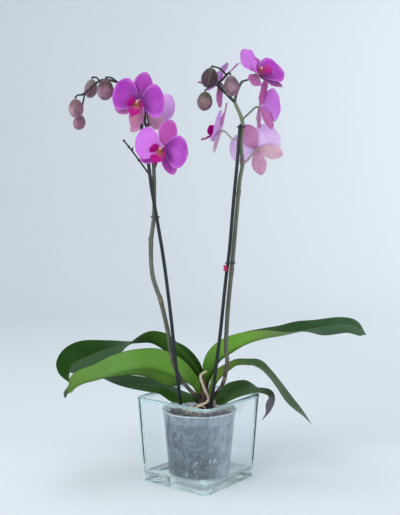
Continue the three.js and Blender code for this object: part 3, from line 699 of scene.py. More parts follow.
def column_shell():
    """Column: a stout rod bowed forward, swelling to a hooded cap at its end."""
    return tube([(0, 0, 0.2), (0, 0.7, 4), (0, 0.9, 8), (0, 0.2, 11), (0, -1.2, 13)],
                lambda s: profile([(0, 2.3), (0.3, 2.0), (0.6, 2.3), (0.85, 2.9), (1, 2.5)], s), 20, 40)


def add_flower(name, flower):
    """One flower: sepals, petals, column and lip in its own axes, then set in place.
    The lower sepals are narrower and lie one behind the other."""
    seed = sum(map(ord, name)) % 17
    petal_tilt, sepal_tilt, *top_tilt = flower["tilts"]
    top_tilt = top_tilt[0] if top_tilt else max(sepal_tilt, -6)
    # Each sepal's tone: partly its own dusty pink, partly painted shade.
    sepals = [tepal(SEPAL, clock, sepal_tilt if k else top_tilt, 0.02 + 0.02 * np.sin(seed + k), 0.12,
                    SEPAL_LAYER - 0.5 * max(k - 1, 0), thick=0.9,
                    widths=LOWER_SEPAL_WIDTHS if k else SEPAL_WIDTHS, wave=0.8, phase=seed + 2 * k,
                    groove=0.7, tone=dust)
              for k, (clock, dust) in enumerate(zip((0, *flower["sepals"]), flower["dust"]))]
    # Each petal's tone: painted light and shade.
    petals = [tepal(PETAL, clock, petal_tilt, 0.05 + 0.03 * np.sin(2 * seed + k), 0.06, 0.1 + 0.4 * k,
                    thick=0.8, widths=PETAL_WIDTHS, rows=56, cols=40, wave=1.3, phase=seed + 3 * k,
                    groove=0.8, tone=glow)
              for k, (clock, glow) in enumerate(zip(flower["petals"], flower["glow"]))]
    sepals.append(knob((3.2, 3.2, 1.4), (0, 0, SEPAL_LAYER - 0.1)))
    petals.append(knob((3.0, 3.0, 1.2), (0, 0, 0.3)))
    parts = (("sepals", sepals, "sepal", "petal"), ("petals", petals, "petal", "petal"),
             ("column", [column_shell()], "column", "petal"), ("lip", lip_shells(), "lip", "lip"))
    for part, shells, finish, slot in parts:
        placed = [moved(shell, flower["at"], flower_axes(flower)) for shell in shells]
        replaced = () if part == "column" else [f"flower_{name}_{part}"]
        add_piece(f"orchid_{name}_{part}", placed, finishes[finish], slot, replaced)


# -------------------------------------------------------------------------------- buds
# pale is how strongly a painted highlight lies on the flank that faces the light, flank is that flank's
# angle in degrees, and the last skin colour is the highlight's colour.
BUDS = table("at top length radius flank pale skin", [
    ("left_1", (-153, -26, 660), (0.12, 0, 1), 35, 14, 200, 0.8,
     ("8C5E76", "42262E", "5E3848", "C0A6B4")),
    ("left_2", (-180, 3, 665), (0.2, -0.1, 1), 32, 11, 180, 0.2,
     ("96707E", "766C64", "6E5058", "B09CA4")),
    ("left_3", (-202, -21, 630), (-0.03, 0.1, 1), 32, 12.5, 215, 0.75,
     ("946878", "6A4A54", "663C4E", "CDB2BE")),
    ("left_4", (-200, 4, 609), (0.25, -0.1, 1), 26, 10.5, 200, 0.3,
     ("A06E86", "7C5666", "7C4A62", "C4A2B4")),
    ("right_1", (18, -28, 679), (0.24, 0.2, 1), 34, 14, 270, 0.0,
     ("4C3440", "302426", "28181E", "7A5E68")),
    ("right_2", (54, -17, 667), (-0.09, 0.05, 1), 35, 13, 320, 0.85,
     ("8A7078", "6A5458", "5A3040", "C8A2B4")),
    ("right_3", (10, -20, 642), (0.12, 0.1, 1), 32, 13, 230, 0.3,
     ("8E7078", "4A4A34", "5A4444", "C0A0A8"))])


def bud_shell(bud):
    """An egg turned about its long axis: radius sin(pi s^0.88)^0.52, a little
    three-sided, pressed in along three seams and dimpled at the stalk. tone is the
    cosine of the angle from the lit flank, for a painted highlight on the side facing the light."""
    s, angle = eased(44), circle(60)
    swell = bud["radius"] * np.sin(np.pi * s**0.88).clip(0) ** 0.52
    seam = bump(np.mod(angle / TAU * 3 + 0.25, 1) - 0.5, 0.045)
    s = s[:, None]
    r = swell[:, None] * (0.985 + 0.025 * np.cos(3 * angle) - 0.05 * seam * np.sin(np.pi * s))
    z = bud["length"] * (s - 0.5) - 0.8 * bump(1 - s, 0.05)
    tone = bud["pale"] * np.cos(angle - np.radians(bud["flank"])).clip(0) ** 1.3
    top = unit(bud["top"])
    side = unit(np.cross((0, 1, 0), top))
    axes = np.stack([side, np.cross(top, side), top])
    return moved(marked(upright(r, angle, z), s, angle / TAU, seam, tone), bud["at"], axes)


# ------------------------------------------------------------------------------- stems
def jointed(start, stop, nodes, swell=0.45, full=None):
    """A radius that tapers from start to stop and swells at each node. With full it
    thickens from start to full over the first quarter and thins over the upper half."""
    def radius(s):
        line = start + (stop - start) * s
        if full:
            line = np.minimum(start + (full - start) * 4 * s, full)
            line = np.minimum(line, full + (stop - full) * (2 * s - 1))
        uneven = 0.06 * np.sin(60 * s) * np.sin(23 * s + 1)
        return line + swell * sum(bump(s - at, 0.008) for at in nodes) + uneven
    return radius


def stalk(kind, name, first, second, tone):
    """A stalk from its branch, through two points, into the back of a flower or the
    top of a bud. It is thick where it leaves the branch and widens at its far end."""
    if kind == "flower":
        centre, out = FLOWERS[name]["at"], -flower_axes(FLOWERS[name])[2]
        reach = FLOWER_BACK + 6, FLOWER_BACK - 0.5
        radius, flare, start, foot, count = 1.5, 0.7, 0.88, 0.06, 40
    else:
        centre, out = BUDS[name]["at"], unit(BUDS[name]["top"])
        reach = BUDS[name]["length"] / 2 + 2.5, BUDS[name]["length"] / 2 - 0.4
        radius, flare, start, foot, count = 1.45, 0.5, 0.8, 0.08, 36
    route = [first, second, *(np.asarray(centre, float) + out * distance for distance in reach)]

    def size(s):
        return radius + flare * np.clip(s - start, 0, 1) / (1 - start) + 0.5 * bump(s, foot)

    return tube(route, size, 12, count, tone=tone, tip=0.2)


def node_scale(points, height, turn, length=12.0, size=STEM_RADIUS):
    """A scale that clasps the stem above a node: it wraps part of the way round at
    the node, narrows to a point above it and stands a little off the stem."""
    fine, first = even_path(points), step_at_height(points, height)
    step = np.linalg.norm(fine[1] - fine[0])
    s = eased(20)
    index = np.clip(first + (s * length / step).astype(int), 0, PATH_STEPS - 1)
    path, tangent = fine[index], unit(fine[min(first + 20, PATH_STEPS - 1)] - fine[first])
    front = np.array([np.cos(turn), np.sin(turn), 0])
    front = unit(front - tangent * (front @ tangent))
    angle = circle(20)
    t, face = np.cos(angle), np.sin(angle)
    sweep = (1.9 * np.sqrt(np.clip(1 - s, 0, 1)) * np.minimum(1, s / 0.03))[:, None] * t
    off = size * 0.98 + 0.3 + (0.9 * s**2)[:, None] + 0.22 * face * np.minimum(1, (1 - s) / 0.1)[:, None]
    rings = path[:, None] + off[..., None] * swing(sweep, front, np.cross(tangent, front))
    return marked(rings, s[:, None], t, 0.5 + 0.5 * face)


# For each side: the stem's nodes by height, its radius at the top, its branches as
# points, radius, corners round and rings, and tone, and its stalks.
STEMS = table("stem stake nodes top rings branches stalks scales", [
    ("left", STEM_LEFT, STAKE_LEFT, (153, 309, 406, 512, 590), RACHIS_RADIUS, 260, [
        ([(-126, -20, 670), (-146, -18, 676), (-164, -14, 675), (-188, -12, 656), (-196, -10, 652)],
         jointed(RACHIS_RADIUS, 1.8, (0.25, 0.5, 0.82), 0.4), 14, 90, 0.75),
        ([(-74, -27, 510), (-82, -20, 522), (-95, -22, 540), (-110, -34, 561), (-123, -43, 578)],
         jointed(1.6, 1.3, (0.5, 0.82, 0.97), 1.5), 12, 90, 1.0),
        ([(-108, -33, 559), (-108.5, -34, 563), (-107, -35, 566)], 1.3, 10, 14, 1.0)], [
        ("flower", "left_1", (-89, -15, 607), (-88, -20, 625), 0.95),
        ("flower", "left_2", (-74, -27, 525), (-68, -24, 543), 0.7),
        ("flower", "left_3", (-83, -17, 592), (-84, -6, 612), 0.95),
        ("bud", "left_1", (-134, -21, 673), (-142, -23, 679), 0.95),
        ("bud", "left_2", (-163, -14, 675), (-169, -7, 681.5), 0.95),
        ("bud", "left_3", (-193, -11, 653), (-199, -15, 652), 0.95),
        ("bud", "left_4", (-188, -12, 656), (-192, -5, 642), 0.9)],
        [(153, -1.2, 9, 3.1), (309, -0.9), (406, 2.8)]),
    ("right", STEM_RIGHT, STAKE_RIGHT, (176, 357, 488, 539, 579, 613), 2.9, 240, [
        ([(60, -4, 640), (63, -4, 655), (70, -6, 672), (76, -8, 677)],
         jointed(2.6, RACHIS_RADIUS, (0.95,)), 14, 50, 0.35),
        ([(61, -4, 641), (46, -7, 655), (32, -9, 669), (40, -7, 679), (48.5, -5, 688)],
         jointed(2.6, RACHIS_RADIUS, (0.5,)), 14, 70, 0.9)], [
        ("flower", "right_1", (74, -7, 676), (86, -8, 679), 0.9),
        ("flower", "right_2", (73, -9, 613), (85, -6, 624), 0.4),
        ("flower", "right_3", (73, -12, 540), (82, 6, 546), -0.55),
        ("flower", "right_4", (70, -11, 579), (56, -9, 581), -0.9),
        ("flower", "right_5", (34, -9, 667), (43, 13, 666), 0.7),
        ("bud", "right_1", (46, -6, 686), (36, -14, 695), 1.0),
        ("bud", "right_2", (47, -6, 686), (51, -9, 689), 1.0),
        ("bud", "right_3", (35, -9, 667), (24, -11, 668), 0.9)],
        [(176, -1.4, 8, 3.2), (357, -1.2, 9), (488, -0.4, 7, 3.5), (539, -2.6, 8, 3.3)])])


def add_stems():
    """Each stem with its branches and stalks as one piece, the scales, the stakes."""
    scales = []
    for side, plant in STEMS.items():
        points = plant["stem"]
        nodes = [step_at_height(points, height) / (PATH_STEPS - 1) for height in plant["nodes"]]
        radius = jointed(STEM_FOOT, plant["top"], nodes, 0.4, STEM_RADIUS)
        shells = [tube(points, radius, 18, plant["rings"])]
        shells += [tube(*branch) for branch in plant["branches"]]
        shells += [stalk(*row) for row in plant["stalks"]]
        add_piece(f"flower_stalk_{side}", shells, finishes[f"stem_{side}"], "stem", [f"flower_stem_{side}"])
        scales += [node_scale(points, *row) for row in plant["scales"]]
    add_piece("stem_node_scales", scales, finishes["scale"], "stem")
    for side, plant in STEMS.items():
        rod = tube(plant["stake"], STAKE_RADIUS, 20, 120)
        add_piece(f"plant_stake_{side}", [rod], finishes["stake"], "stake", [f"stake_{side}"])


def loop_round(stem, support, height, rise):
    """A wire that runs once round the stem and the stake: a stadium path at one
    height, rising a little as it goes round."""
    first = path_at_height(stem, height)
    across = path_at_height(support, height) - first
    x = unit(across)
    y = unit(np.cross(unit(path_at_height(stem, height + 6) - first), x))
    turn = np.linspace(0, TAU * 1.06, 72)
    reach = STEM_RADIUS + TIE_SLACK + WIRE
    local = np.stack([reach * np.cos(turn) + np.where(np.cos(turn) > 0, np.linalg.norm(across), 0.0),
                      reach * np.sin(turn), rise * turn / TAU], 1)
    return tube(first + local @ np.stack([x, y, np.cross(x, y)]), WIRE, 10, 150)


def tie_shells(side, height, tails=True):
    """A twist tie: two crossing turns of thin wire round stem and stake and two short
    bent tails."""
    ends = STEMS[side]["stem"], STEMS[side]["stake"]
    shells = [loop_round(*ends, height + 1.2 * k, -1.6 * k) for k in (-1, 1)]
    front = 0.5 * sum(path_at_height(points, height) for points in ends) + (0, -STEM_RADIUS - 1.1, 0)
    if tails:
        for bends in ([(1.2, -1.2, 1.0), (3.2, -0.8, 2.2), (5.0, 0.2, 2.0)],
                      [(-1.5, -1.4, -0.4), (-4.5, -1.4, -1.0), (-8.0, -0.4, -0.4)]):
            shells.append(tube(front + np.array([(0, 0, 0), *bends]), 0.5, 10, 40))
    return shells


def clip_shells(height):
    """A small spring clip: two rounded jaws beside the stake and a ring round it."""
    centre = path_at_height(STAKE_RIGHT, height)
    jaw = [(0, -5.2), (1.6, -5.1), (2.9, -4.2), (3.3, -2.6), (2.6, -1.0), (2.4, 0), (2.6, 1.0), (3.3, 2.6),
           (2.9, 4.2), (1.6, 5.1), (0, 5.2)]
    body = lathe(smooth(jaw, np.linspace(0, len(jaw) - 1, 50)).clip([0, -9], [9, 9]), 24)
    turn = np.linspace(0, TAU * 0.97, 40)
    rings = [tube(centre + upright(STAKE_RADIUS + 0.7, turn, dz), WIRE, 10, 90) for dz in (-2.2, 2.2)]
    return [moved(body, centre + (-3.4, -2.4, 0)), *rings]


# ------------------------------------------------------------------------------ leaves
# For each leaf: its side, where its tip withers, its band, a painted grey sheen over the near half
# blade, the colours of its top and its underside from base to tip, of its veins and of the withered tip,
# and its stations: the midrib's place, the half width, and how far the near and far half blades rise,
# in degrees.
LEAVES = table("side tip band top under vein withered stations", [
    ("leaf_left_back", -1, 2.0, 0.3, "0:4A342A 0.12:365220 0.32:234C17 0.55:1A3E10 0.8:183E0E 1:244A1A",
     "0:5A4A34 0.16:46702A 0.42:3C6626 0.52:3A6024 1:36562C", "7E9C58", "6B6462", [
        (10, 4, 124, 7, 70, 70), (8, 7, 140, 9, 62, 66), (2, 14, 162, 13, 48, 60),
        (-11, 15, 183, 23, 39, 55), (-31, 17, 206, 30, 37, 40), (-58, 20, 220, 35, 59, 25),
        (-81, 22, 232, 36, 47, 6), (-104, 24, 232, 33, 22, -3), (-129, 28, 228, 32, -15, -1),
        (-163, 34, 217, 33, -36, 21), (-198, 40, 202, 39, -28, 46), (-221, 44, 190, 38, -12, 54),
        (-228, 44, 174, 31, -2, 57), (-229, 42, 158, 0, 0, 54)]),
    ("leaf_left_front", -1, 0.88, 0, "0:4A342A 0.15:2E5424 1:2C4E26",
     "0:5A4A34 0.16:5E8636 0.4:689644 0.62:729E50 0.84:7A9A56 0.92:6C7450 1:4E5650", "86A860", "4C5656", [
        (9, 0, 122, 6, 70, 70), (3, -1, 138, 9, 64, 58), (-5, -3, 154, 12, 59, 49),
        (-12, 0, 163, 22, 65, 8), (-31, 3, 173, 32, 76, -36), (-51, 3, 181, 38, 84, -46),
        (-77, 0, 190, 40, 81, -37), (-105, -8, 192, 39, 75, -27), (-136, -18, 187, 39, 69, -15),
        (-168, -28, 179, 37, 58, -10), (-200, -38, 172, 32, 55, -16), (-213, -45, 164, 19, 38, -16),
        (-219, -49, 159, 8, 40, -14), (-221, -50, 151, 0, 44, -12)]),
    ("leaf_left_low", -1, 2.0, 0, "0:3A2A26 0.2:224812 0.6:2A5618 1:284C14", "0:4A3A2C 0.2:44702A 1:588C38",
     "90A86A", "6B6462", [
        (8, 2, 119.5, 7, 55, 60), (3, 3, 126, 9, 30, 50), (-6, 4, 133, 11, -2, 40),
        (-18, 11, 136, 20, -20, 20), (-37, 18, 143, 27, -25, 6), (-61, 23, 152, 31, -10, 8),
        (-88, 26, 157, 32, -10, 12), (-120, 29, 161, 30, -6, 12), (-150, 32, 166, 24, -1, 10),
        (-178, 34, 172, 0, -2, 0)]),
    # On this leaf the grey stops past 0.5 along the underside are a painted sheen where the blade turns edge
    # on.
    ("leaf_right_long", 1, 2.0, 0.24, "0:4A342A 0.15:34561E 0.5:38562A 0.66:21421C 0.86:1E4A1C 1:345A34",
     "0:4A3A2C 0.14:4C6A28 0.28:5E9236 0.46:8AC254 0.56:8CAA64 0.64:6E7E5C 1:66785A", "84A070", "6B6462", [
        (10, 3, 128, 7, 70, 70), (14, 6, 148, 9, 64, 66), (18, 9, 168, 12, 60, 60),
        (25, 9, 183, 24, 63, 60), (36, 11, 202, 30, 70, 55), (54, 13, 215, 33, 71, 45),
        (82, 16, 231, 34, 50, 30), (113, 20, 240, 34, 35, 23), (146, 25, 245, 34, 17, 23),
        (176, 29, 251, 35, 7, 23), (210, 33, 256, 36, -13, 16), (252, 37, 261, 36, -14, 14),
        (280, 39, 254, 30, -17, 19), (294, 40, 242, 0, -11, 11)]),
    ("leaf_right_drooping", 1, 0.93, 0, "0:6A5A38 0.2:4C6C28 0.4:456A2C 0.62:3C5A2A 0.86:465F42 1:64766C",
     "0:6A6A3A 0.22:88A84C 0.42:8CAC58 0.54:587A3A 1:58764A", "8CA67A", "6C7E7A", [
        (10, 2, 123, 6, 70, 70), (17, 4, 139, 8, 60, 55), (25, 6, 155, 10, 56, 45),
        (35, 6, 172, 18, 59, 39), (50, 5, 186, 24, 45, 22), (65, 2, 197, 25, 34, 11),
        (83, -3, 199, 26, 22, 12), (102, -8, 197, 27, 4, 16), (118, -13, 186, 27, -3, 13),
        (134, -18, 168, 26, -7, 12), (151, -22, 144, 22, -9, 18), (173, -25, 122, 14, -7, 16),
        (192, -27, 100, 0, 5, 18)]),
    ("leaf_right_low", 1, 0.74, 0, "0:3A2A26 0.2:385626 0.45:345824 0.64:305022 0.74:4A4C40 1:666062",
     "0:4A3A2C 0.2:3E6826 0.6:4A7430 0.76:6C6C66 1:6C6868", "84A070", "69646A", [
        (10, 2, 120.5, 6, 55, 60), (17, 3, 128, 9, 20, 48), (25, 4, 136, 11, -17, 40),
        (37, 2, 141, 20, -25, 28), (54, -4, 151, 30, -16, 21), (78, -9, 157, 33, -4, 15),
        (101, -13, 161, 33, -2, -17), (122, -17, 158, 30, -13, -18), (129, -19, 144, 27, -32, -12),
        (122, -21, 124, 18, -43, -12), (106, -22, 106, 0, -4, 2)])])


def leaf_shell(side, stations):
    """A strap leaf from its stations: near and far half blades rise from the midrib
    at their own angles, with the fold rounded, a hollow midrib above and a keel
    below; the section is a lens that thins to its rounded margin."""
    rows, cols, thick = 110, 40, 1.9
    at = np.linspace(0, len(stations) - 1, rows)
    values = smooth(stations, at)
    midrib, half = values[:, :3], np.maximum(values[:, 3], 0)
    near_lift, far_lift = np.radians(values[:, 4:6]).T[..., None]
    half[[0, -1]] = 0
    half = (half * np.minimum(1, (at / at[-1]) / 0.012) ** 0.5)[:, None]
    tangent = unit(np.gradient(midrib, axis=0))
    near = np.array([0, -1.0, 0])
    near = unit(near - (tangent @ near)[:, None] * tangent)
    up = side * np.cross(near, tangent)
    angle = circle(cols)
    t, face = np.cos(angle), np.sin(angle)
    blend = 0.5 + 0.5 * np.tanh(t / 0.10)
    reach = np.sqrt(t**2 + 0.0016) - 0.04
    lift = near_lift * blend + far_lift * (1 - blend)
    tilt = near_lift * blend - far_lift * (1 - blend)
    s = np.linspace(0, 1, rows)[:, None]
    fade = np.minimum(1, half / 8)
    ripple = 0.5 * np.sin(TAU * (3.1 * s + 0.2 * np.sign(t))) * abs(t) ** 3 * np.minimum(half / 20, 1)
    lens = 0.5 * thick * face * (0.55 + 0.45 * (1 - abs(t))) * fade + ripple - 0.35 * bump(t, 0.045) * fade
    across = half * (np.sign(t) * reach * np.cos(lift)) - lens * np.sin(tilt)
    height = half * (reach * np.sin(lift)) + lens * np.cos(tilt)
    rings = midrib[:, None] + across[..., None] * near[:, None] + height[..., None] * up[:, None]
    return marked(rings, s, t, np.clip(0.5 + 2 * face, 0, 1))


# ----------------------------------------------------------------------- crown and roots
AERIAL_ROOT = [
    (14.5, -17, 190), (6, -18, 186), (3.5, -20, 180), (6, -21.5, 171), (10.5, -21.5, 159), (16, -21, 148),
    (16.5, -21.5, 141), (11, -23, 136.5), (3, -25, 134), (-6, -27, 129), (-13, -28, 121.5)]
ROOT_TANGLE = [
    [(14, -14, 120), (10, -24, 130), (2, -28, 133), (-4, -27, 128), (-3, -24, 120)],
    [(-2, -20, 118), (-8, -25, 128), (-12, -26, 132), (-16, -24, 128), (-17, -20, 119)],
    [(4, -22, 119), (-3, -30, 125), (-11, -31, 127), (-18, -27, 123), (-20, -22, 118)],
    [(20, -14, 120), (23, -20, 132), (26, -22, 141), (28, -19, 136), (28, -14, 122)],
    [(24, -12, 119), (29, -20, 129), (32, -21, 132), (35, -17, 128), (35, -10, 118)]]
SURFACE_ROOTS = {
    "left": [(0, -12, 122), (-8, -17, 127), (-18, -16, 125), (-26, -6, 121)],
    "right": [(16, 8, 122), (25, 12, 127), (36, 8, 125), (44, 0, 121)]}


def knobbly(start, stop, seed):
    """A root's radius: tapering, with slow irregular swellings."""
    def radius(s):
        uneven = 1 + 0.08 * np.sin(31 * s + seed) + 0.05 * np.sin(67 * s + 2 * seed)
        return (start + (stop - start) * s) * uneven
    return radius


def crown_shell():
    """The short trunk: overlapping old sheaths round a core, each a ridge that laps
    half way round, higher on alternate sides."""
    knots = [(0, 0), (8, 0), (10.5, 7), (10, 20), (7.5, 35), (4, 49), (0, 58)]
    line = smooth(knots, np.linspace(0, len(knots) - 1, 60)).clip(0)
    line[[0, -1], 0] = 0

    def sheaths(r, z, angle):
        laps = 0.5 + 0.5 * np.tanh(6 * np.sin(z / 4.2 + angle))
        return r * (0.93 + 0.07 * laps + 0.02 * np.sin(9 * angle + z / 3))

    return moved(lathe(line, 48, sheaths), (9, 0, BARK_TOP + 0.3))


def wall_radius(z):
    """Inside radius of the nursery pot at height z."""
    return POT["bottom"] + (POT["top"] - POT["bottom"]) * (z - POT_FLOOR) / POT["height"] - POT["wall"]


def columns(*values):
    """The values side by side, one row for each place in the longest."""
    return np.stack(np.broadcast_arrays(*values), 1)


def chip_shells(rng, centres, normals, sizes, tones):
    """Bark chips: boxy lumps (a ball whose sines are raised to a low power), each
    stretched, turned and dented its own way."""
    def boxy(v):
        return np.sign(v) * abs(v) ** 0.55

    a, b = np.linspace(0, np.pi, 6)[:, None], circle(8) + 0.3
    ball = np.stack(np.broadcast_arrays(boxy(np.sin(a)) * boxy(np.cos(b)), boxy(np.sin(a)) * boxy(np.sin(b)),
                                        boxy(np.cos(a))), -1)
    shells = []
    for at, normal, size, tone in zip(centres, normals, sizes, tones):
        lump = ball * size * (1 + 0.16 * rng.standard_normal(ball.shape))
        lump[[0, -1]] = lump[[0, -1]].mean(1, keepdims=True)
        turn = rng.uniform(0, TAU)
        side = unit(np.cross(normal, (0.3, 0.1, 1.0)))
        other = np.cross(normal, side)
        turn = np.float64(turn)
        axes = np.stack([swing(turn, side, other), swing(turn, other, -side), normal])
        shells.append(moved(marked(lump, tone=tone), at, axes))
    return shells


def bark_shells():
    """Bark in the pot: chips packed against the wall and over the top of a core."""
    rng = np.random.default_rng(11)
    rows, count = [], 30
    for z in np.arange(CHIPS_LOW, 114, 7.5):
        angle = circle(count) + rng.uniform(0, 0.3) + rng.normal(0, 0.03, count)
        rows.append(columns(angle, z + rng.normal(0, 1.6, count)))
    angle, height = np.vstack(rows).T
    out = upright(1.0, angle, 0.0)
    size = columns(*(rng.uniform(*span, len(angle)) for span in ((4.5, 8.5), (2.8, 5.0), (1.6, 2.4))))
    depth = wall_radius(height) - 3.6 - size[:, 2]
    centre = POT_MIDDLE + out * depth[:, None] + columns(0, 0, height.clip(CHIPS_LOW, 111))
    shells = chip_shells(rng, centre, out, size, rng.uniform(0, 1, len(angle)))
    count = 170
    radius = 52 * np.sqrt(rng.uniform(0, 1, count))
    angle = rng.uniform(0, TAU, count)
    lay = unit(columns(rng.normal(0, 0.35, count), rng.normal(0, 0.35, count), 1))
    size = columns(*(rng.uniform(*span, count) for span in ((4, 8.5), (2.6, 4.6), (1.3, 2.1))))
    centre = POT_MIDDLE + upright(radius, angle, BARK_CORE + rng.uniform(0, 2.2, count))
    shells += chip_shells(rng, centre, lay, size, rng.uniform(0, 1, count))
    floor = POT_FLOOR + POT["wall"] + 0.3
    shoulder = BARK_CORE - 1.5
    core = [(0, floor), (wall_radius(floor) - 6, floor), (wall_radius(shoulder) - 8, shoulder),
            (20, BARK_CORE), (0, BARK_CORE)]
    return [*shells, moved(lathe(core, 48, tone=0.15), POT_MIDDLE)]


def pot_root_shells():
    """Roots pressed against the inside of the pot: each wanders down and round the
    wall, its angle and height drifting by smooth random steps. More lie on the bark."""
    rng = np.random.default_rng(5)
    shells, steps = [], 9
    for _ in range(9):
        angle = rng.uniform(0, TAU) + np.cumsum(rng.normal(0, 0.22, steps))
        height = np.clip(rng.uniform(60, 113) - np.cumsum(rng.uniform(-3, 12, steps)), CHIPS_LOW, 113)
        size = rng.uniform(1.0, 1.7)
        path = POT_MIDDLE + upright(wall_radius(height) - size - 0.5, angle, height)
        shells.append(tube(path, knobbly(size, 0.75 * size, angle[0]), 8, 40))
    for _ in range(16):
        angle = rng.uniform(0, TAU)
        radius = rng.uniform(12, 46)
        drift = rng.normal(0, 7, (4, 2)).cumsum(0)
        path = upright(radius, angle, np.array([116.6, 117.2, 117.0, 116.0])) + columns(*drift.T, 0)
        path[:, :2] *= np.minimum(1, 53 / np.hypot(path[:, 0], path[:, 1]))[:, None]
        shells.append(tube(POT_MIDDLE + path, knobbly(1.0, 0.8, angle), 8, 24))
    return shells


# ------------------------------------------------------------------------ pot and vase
def pot_shell():
    """Nursery pot: a tapered cup with a rolled lip, three rings below it, twelve
    shallow upright ribs, and a footring."""
    h, top, bottom, wall, lip = (POT[key] for key in ("height", "top", "bottom", "wall", "lip"))

    def outer(z):
        return bottom + (top - bottom) * z / h

    knots = [(0, 0.8), (bottom - 9, 0.8), (bottom - 7, 0), (bottom - 1, 0), (bottom, 1)]
    knots += [(outer(z), z) for z in np.linspace(3, 92, 24)]
    knots += [(outer(z) + 0.45 * max(0, np.cos(TAU * (z - 96) / 4)), z) for z in np.linspace(94, 106, 25)]
    knots += [(outer(107), 107), (lip - 0.3, 107.3), (lip, 108), (lip, 109.2), (lip - 0.6, 110),
              (top - wall + 0.4, 110), (top - wall, 109.4)]
    knots += [(outer(z) - wall, z) for z in np.linspace(106, 3, 20)]
    knots += [(bottom - wall - 2, wall + 0.3), (0, wall + 0.3)]

    def ribs(r, z, angle):
        band = np.clip((z - 3) / 6, 0, 1) * np.clip((92 - z) / 5, 0, 1)
        return r + 0.35 * band * bump(np.mod(angle / TAU * POT["ribs"], 1) - 0.5, 0.07)

    rings, marks = lathe(knots, 216, ribs)
    level = rings[:, :1, 2]
    marks[..., 3] = bump(level - 109, 1.6) + 0.3 * (abs(level - 100) < 6.5)
    return moved((rings, marks), POT_MIDDLE + (0, 0, POT_FLOOR))


def vase_shell():
    """Square vase: rounded-square rings with half side h and corner radius c, through
    the outside, the rounded rim, the inside and the thick rounded floor."""
    wall, height, base = VASE["wall"], VASE["height"], VASE["base"]

    def half(z):
        return 0.5 * (VASE["bottom"] + (VASE["top"] - VASE["bottom"]) * z / height)

    def arc(x, z, radius, start, stop, count):
        """Half sides, heights and turned degrees of a rounded edge."""
        turned = np.linspace(start, stop, count)
        a = np.radians(turned)
        return zip(x + radius * np.cos(a), z + radius * np.sin(a), turned)

    rows = [(0, 0.6, 0), (half(0) - 14, 0.6, 6), (half(0) - 9, 0, 9)]
    rows += [(x, z, 11) for x, z, _ in arc(half(3) - 3, 3, 3, -90, 0, 8)]
    rows += [(half(z), z, VASE["corner"]) for z in np.linspace(8, height - 6, 14)]
    rim = arc(half(height) - wall / 2, height - wall / 2, wall / 2, 0, 180, 17)
    rows += [(x, z, 10 - 0.012 * turned) for x, z, turned in rim]
    rows += [(half(z) - wall, z, 7.8) for z in np.linspace(height - 8, base + 8, 14)]
    rows += [(x, z, 8) for x, z, _ in arc(half(base) - wall - 6, base + 6, 6, 0, -90, 9)]
    rows += [(half(base) - wall - 16, base - 0.6, 8), (20, base - 0.9, 8), (0, base - 0.9, 0)]
    rows = np.asarray(rows, float)
    quarter = np.radians(np.linspace(0, 90, 13))
    angle = np.concatenate([quarter + k * np.pi / 2 for k in range(4)])
    corner = np.repeat([(1, 1), (-1, 1), (-1, -1), (1, -1)], len(quarter), axis=0)
    c = np.minimum(rows[:, 2], rows[:, 0])[:, None, None]
    flat = (rows[:, 0, None, None] - c) * corner + c * np.stack([np.cos(angle), np.sin(angle)], -1)
    turn = np.radians(VASE["turn"])
    spin = np.array([[np.cos(turn), np.sin(turn)], [-np.sin(turn), np.cos(turn)]])
    level = np.broadcast_to(rows[:, 1, None, None], flat.shape[:2] + (1,))
    rings = np.concatenate([flat @ spin, level], -1)
    rim = np.clip((rows[:, 1] - (height - 7)) / 3, 0, 1)
    foot = np.clip((base - 1 - rows[:, 1]) / 6, 0, 1) * (rows[:, 0] > half(0) - 16)
    corners = abs(np.sin(2 * np.tile(quarter, 4))).clip(0, 0.5) * 2
    return marked(rings, side=corners, tone=np.maximum(rim, 0.6 * foot)[:, None])


# ---------------------------------------------------------------------------- assembly
finishes = {
    "petal": petal_finish("petal_skin", "A231AC", "CB70D6", "6C1778", "E9C6F6", "CC9AE2", "E488F4", "F8D6FF",
                          "B84CC8"),
    "sepal": petal_finish("sepal_skin", "A436A8", "CC7AD0", "6C1C6E", "D69AC4", "B2628E", "BC7C96", "E8C4CC",
                          "BC54A8"),
    "lip": lip_finish("lip_skin"),
    "column": column_finish("column_skin"),
    "stem_left": stem_finish("stem_skin_left", "0:4A3A38 0.12:4E4240 0.3:585B4D 0.55:5E6859 0.75:464C3E "
                             "0.86:2E2E2A 1:282624", "241E20"),
    "stem_right": stem_finish("stem_skin_right", "0:3A2A26 0.1:483630 0.17:5C584C 0.5:66705F 0.74:6E7C60 "
                              "0.86:76865E 1:5A6646", "2A2226"),
    "scale": scale_finish("scale_skin"),
    "stake": stake_finish("stake_coat"),
    "tie": moulded_finish("tie_plastic", "14171C", "2A3038", 0.35),
    "clip": moulded_finish("clip_plastic", "9A0848", "BC0C5C", 0.28),
    "root": root_finish("root_skin", "DCCCB8", "A6937E", "A6B07A"),
    "pot_root": root_finish("pot_root_skin", "92908A", "6C6A60", "8A8C74"),
    "bark": bark_finish("bark_skin"),
    "crown": crown_finish("crown_skin"),
}

